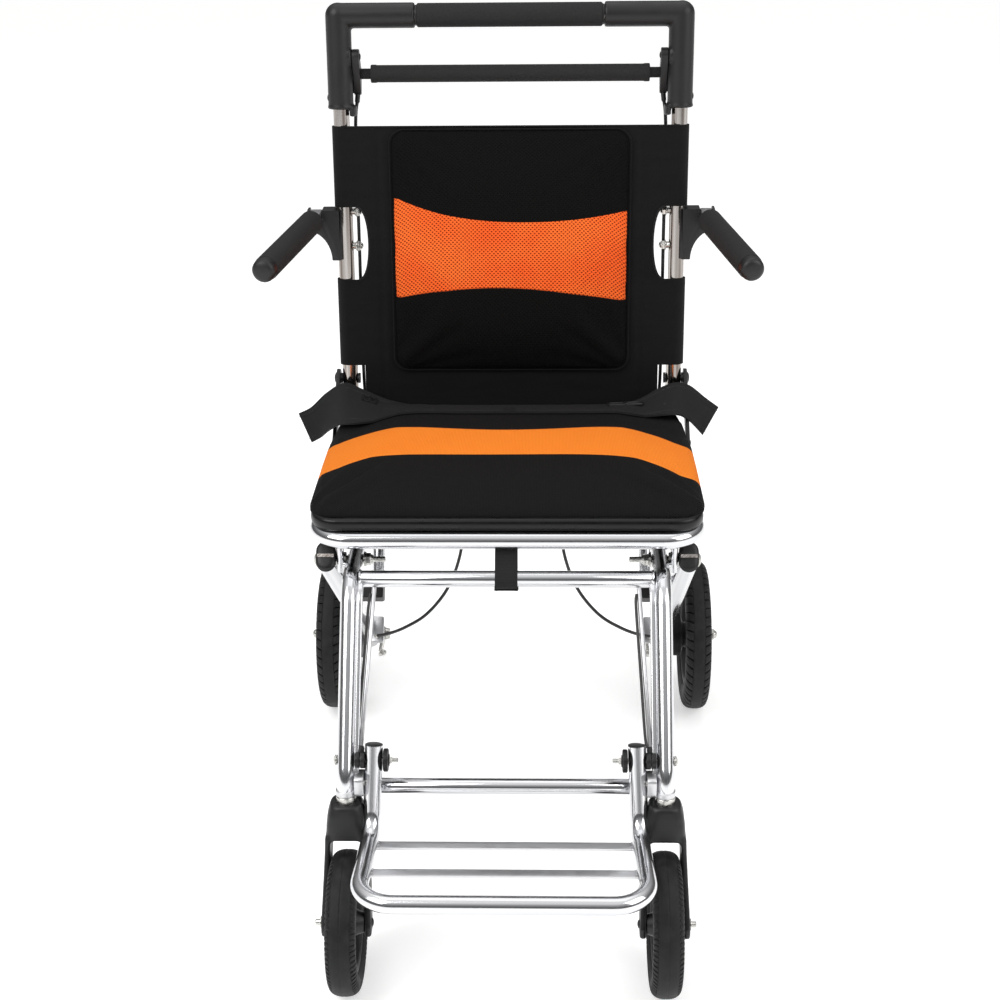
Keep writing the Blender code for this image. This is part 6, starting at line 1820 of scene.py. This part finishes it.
def lap_belts():
    """The two halves of the lap belt, leaning on the back and hanging past the seat."""
    cushion = bpy.data.objects["cushion_cover"].data
    ground = BVHTree.FromPolygons([v.co for v in cushion.vertices],
                                  [tuple(p.vertices) for p in cushion.polygons])
    # each belt runs between an upper and a lower edge line; the lower lines reach down over the
    # dark shade between belt and cushion, so each belt is partly webbing and partly painted
    # shade
    lines = {
        "left": (((0.008, 0.16, 0.488), (-0.06, 0.16, 0.487), (-0.11, 0.162, 0.487),
                  (-0.15, 0.176, 0.49), (-0.183, 0.195, 0.497), (-0.206, 0.208, 0.501),
                  (-0.229, 0.209, 0.488), (-0.248, 0.202, 0.472),
                  (-0.264, 0.195, 0.466)),
                 ((0.008, 0.118, 0.488), (-0.06, 0.118, 0.487), (-0.11, 0.119, 0.487),
                  (-0.15, 0.112, 0.487), (-0.183, 0.108, 0.485), (-0.2046, 0.124, 0.478),
                  (-0.2226, 0.15, 0.46), (-0.235, 0.17, 0.444),
                  (-0.247, 0.176, 0.435))),
        "right": (((-0.008, 0.16, 0.486), (0.06, 0.16, 0.487), (0.119, 0.162, 0.487),
                   (0.155, 0.176, 0.49), (0.18, 0.195, 0.497), (0.202, 0.208, 0.501),
                   (0.22, 0.212, 0.496), (0.24, 0.206, 0.482),
                   (0.256, 0.2, 0.472)),
                  ((-0.008, 0.118, 0.486), (0.06, 0.118, 0.487), (0.119, 0.119, 0.487),
                   (0.155, 0.124, 0.487), (0.186, 0.138, 0.485), (0.204, 0.156, 0.478),
                   (0.217, 0.172, 0.466), (0.227, 0.179, 0.454),
                   (0.236, 0.18, 0.443))),
    }
    for side in lines:
        shell, rows = ribbon(*lines[side], 0.0026, "webbing", ground)
        shells = [shell]
        for share in (1, 7):
            shells.append(stitches([row[share] + Vector((0, -0.001, 0.0011)) for row in rows]))
        k, long, wide = {"left": (29, 0.02, 0.014), "right": (20, 0.046, 0.02)}[side]
        run = (rows[k + 1][2] - rows[k - 1][2]).normalized()
        across = (rows[k][0] - rows[k][4]).normalized()
        shells += buckle(rows[k][2] + Vector((0, -0.0008, 0.0016)), run, across, long, wide)
        spots = [(rows[k][rail] + Vector((0, -0.0006, 0.0012)), (0, -0.5, 0.8), 0.0013)
                 for k, rail in {"left": ((16, 2), (13, 6)),
                                 "right": ((34, 1), (36, 1), (37, 1), (33, 5))}[side]]
        shells.append(rivets(spots, "plastic"))
        belt = build("belt_" + side, shells, "chassis", ["lap_belt_" + side])
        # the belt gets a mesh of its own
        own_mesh(belt)


def cables():
    """The brake cables: each bends at the back's joint and again at the rear leg's."""
    for side, sign in SIDES:
        y = FRONT_Y
        points = [(0.1825, post_y(TAIL_Z) + 0.012, TAIL_Z)]
        points += [(0.1862, post_y(z) + 0.0095, z) for z in (0.8, 0.66, 0.52)]
        points += [(0.184, y + 0.542, 0.475), (0.176, y + 0.536, 0.448),
                   (0.16, y + 0.53, 0.428), (0.13, y + 0.524, 0.411),
                   (0.096, y + 0.518, 0.388), (0.072, y + 0.51, 0.346),
                   (0.064, y + 0.503, 0.3), (0.07, y + 0.499, 0.262),
                   (0.086, y + 0.498, 0.223), (0.112, y + 0.497, 0.19),
                   (0.14, y + 0.499, 0.17), (0.164, y + 0.509, 0.155)]
        points += [tuple(on_leg(0.18, 0.3888, -0.02)),
                   tuple(on_leg(0.18, 0.3968, -0.02))]
        points = [(sign * a, b, c) for a, b, c in points]
        upper, lower = smooth_route(points[:9], 8), smooth_route(points[8:], 8)
        tip = [(-0.001, 0.0016), (-0.001, 0.003), (0.008, 0.003), (0.01, 0.0019)]
        shells = [sweep(upper, circle(SHEATH_R, 14), "sheath"),
                  turned(tip, upper[0], upper[1] - upper[0], "plastic", 20)]
        obj = build("cable_high_" + side, shells)
        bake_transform(obj)
        shells = [sweep(lower, circle(SHEATH_R, 14), "sheath"),
                  turned(tip, lower[-1], lower[-2] - lower[-1], "steel", 20)]
        obj = build("cable_low_" + side, shells, None, ["brake_cable_" + side])
        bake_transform(obj)


# Studio

def studio():
    """Pale floor, soft light all round and the photograph's camera."""
    hues = bpy.context.scene.chair_colours
    mat, tree, shader = surface("studio_floor", hues.floor, 0.9, shine=0.0)
    glow = add(tree, "ShaderNodeEmission", {"Color": (1, 1, 1, 1), "Strength": 0.42})
    path = add(tree, "ShaderNodeLightPath")
    seen = maths(tree, "MAXIMUM", path.outputs["Is Camera Ray"],
                 path.outputs["Is Glossy Ray"])
    seen = maths(tree, "MAXIMUM", seen, path.outputs["Is Transmission Ray"])
    dark = add(tree, "ShaderNodeEmission", {"Color": (0, 0, 0, 1), "Strength": 0.0})
    pick = add(tree, "ShaderNodeMixShader", {0: seen, 1: dark.outputs[0], 2: glow.outputs[0]})
    total = add(tree, "ShaderNodeAddShader", {0: shader.outputs[0], 1: pick.outputs[0]})
    out = tree.nodes["Material Output"]
    tree.links.new(total.outputs[0], out.inputs["Surface"])
    made["floor"] = mat
    far = 15.0
    corners = ((-far, -far), (far, -far), (far, far), (-far, far))
    stage = [build("floor", [{"v": [Vector((x, y, -0.0002)) for x, y in corners],
                              "f": [(0, 1, 2, 3)], "uv": None, "m": "floor"}])]
    for name, place, size, power in (("key", (-1.8, -1.6, 2.6), 2.2, 60),
                                     ("fill", (2.2, -1.2, 2.0), 2.0, 36),
                                     ("top", (0.0, 0.6, 3.0), 2.2, 8)):
        data = bpy.data.lights.new(name, "AREA")
        data.shape, data.size, data.energy = "SQUARE", size, power
        lamp = link(name, data)
        lamp.location = place
        aim = (Vector((0, 0, 0.45)) - Vector(place)).to_track_quat("-Z", "Y")
        lamp.rotation_euler = aim.to_euler()
        stage.append(lamp)

    world = bpy.data.worlds.new("studio")
    bpy.context.scene.world = world
    world.use_nodes = True
    tree = world.node_tree
    ways = add(tree, "ShaderNodeSeparateXYZ",
               {0: add(tree, "ShaderNodeTexCoord").outputs["Generated"]})
    ramp = add(tree, "ShaderNodeValToRGB", {0: between(tree, ways.outputs["Z"], -1.0, 1.0)})
    stops = ((0.0, 0.95), (0.498, 0.95), (0.5, 0.18), (0.604, 0.12), (0.727, 0.29),
             (0.815, 0.5), (0.883, 0.77), (0.941, 1.0), (1.0, 0.95))
    levels = ramp.color_ramp.elements
    levels[0].position, levels[0].color = stops[0][0], (*[stops[0][1]] * 3, 1)
    levels[1].position, levels[1].color = stops[-1][0], (*[stops[-1][1]] * 3, 1)
    for spot, level in stops[1:-1]:
        levels.new(spot).color = (level, level, level, 1)
    tree.links.new(ramp.outputs[0], tree.nodes["Background"].inputs["Color"])
    tree.nodes["Background"].inputs["Strength"].default_value = 1.0

    data = bpy.data.cameras.new("camera")
    data.lens, data.sensor_width = bpy.context.scene.chair_studio.lens, 36.0
    camera = link("camera", data)
    camera.matrix_world = (Matrix.Translation((0.0401, -1.7924, 1.1929))
                           @ Matrix.Rotation(0.02772, 4, "Z")
                           @ Matrix.Rotation(math.radians(67.01), 4, "X")
                           @ Matrix.Rotation(-0.01033, 4, "Z"))
    bpy.context.scene.camera = camera
    bpy.context.scene.view_settings.view_transform = "Standard"


class ChairStudio(bpy.types.PropertyGroup):
    """Camera of the studio."""
    lens: FloatProperty(
        name="Lens", description="Focal length of the camera in millimetres",
        default=61.426, min=20, max=200)


def operator(name, label, doc, *makers):
    """An operator that makes one piece or one group of like pieces."""
    def execute(self, context):
        if not made:
            prepare()
        for maker in makers:
            maker()
        return {"FINISHED"}

    return type("CHAIR_OT_" + name, (bpy.types.Operator,), {
        "__doc__": doc, "bl_idname": "chair." + name, "bl_label": label, "execute": execute})


OPERATORS = (
    operator("frame", "Frame Tubes", "Side tubes, crossbars and stays", front_legs, crossbars,
             stays),
    operator("seat_frame", "Seat Frame", "Seat loop, rails and hinges", seat_loop,
             seat_brackets, back_hinges),
    operator("footrest", "Footrest", "Footrest and its bolts", footrest, foot_pivots),
    operator("rear_frame", "Rear Frame", "Rear legs, saddles, axles and brake levers",
             leg_pivots, rear_legs, leg_rests, rear_axles, brake_levers),
    operator("rear_wheels", "Rear Wheels", "Treaded rear wheels", rear_wheels),
    operator("casters", "Casters", "Forks and front wheels", casters),
    operator("handle", "Handle", "Posts, handle and squeeze bar", push_tube, handle, brake_bar),
    operator("arms", "Arms", "Arm brackets and armrests", arm_brackets, armrests),
    operator("back", "Back", "Nylon back and its pad", back_sheet, back_pad),
    operator("seat", "Seat", "Seat board and cushion", seat),
    operator("straps", "Straps", "Pull strap and lap belt", pull_strap, lap_belts),
    operator("cables", "Cables", "Brake cables", cables),
    operator("studio", "Studio", "Floor, light and camera", studio),
)


class CHAIR_PT_panel(bpy.types.Panel):
    """Lists the chair's pieces in the sidebar."""
    bl_label = "Folding Travel Wheelchair"
    bl_idname = "CHAIR_PT_panel"
    bl_space_type = "VIEW_3D"
    bl_region_type = "UI"
    bl_category = "Chair"

    def draw(self, context):
        for group in ("chair_sizes", "chair_colours", "chair_studio"):
            values = getattr(context.scene, group)
            for key in values.__annotations__:
                self.layout.prop(values, key)
        for kind in OPERATORS:
            self.layout.operator(kind.bl_idname)


CLASSES = (ChairSizes, ChairColours, ChairStudio, *OPERATORS, CHAIR_PT_panel)


def register():
    for kind in CLASSES:
        bpy.utils.register_class(kind)
    bpy.types.Scene.chair_sizes = PointerProperty(type=ChairSizes)
    bpy.types.Scene.chair_colours = PointerProperty(type=ChairColours)
    bpy.types.Scene.chair_studio = PointerProperty(type=ChairStudio)


def unregister():
    del bpy.types.Scene.chair_studio
    del bpy.types.Scene.chair_colours
    del bpy.types.Scene.chair_sizes
    for kind in reversed(CLASSES):
        bpy.utils.unregister_class(kind)


def main():
    register()
    for kind in OPERATORS:
        getattr(bpy.ops.chair, kind.bl_idname.split(".")[1])()


if __name__ == "__main__":
    main()
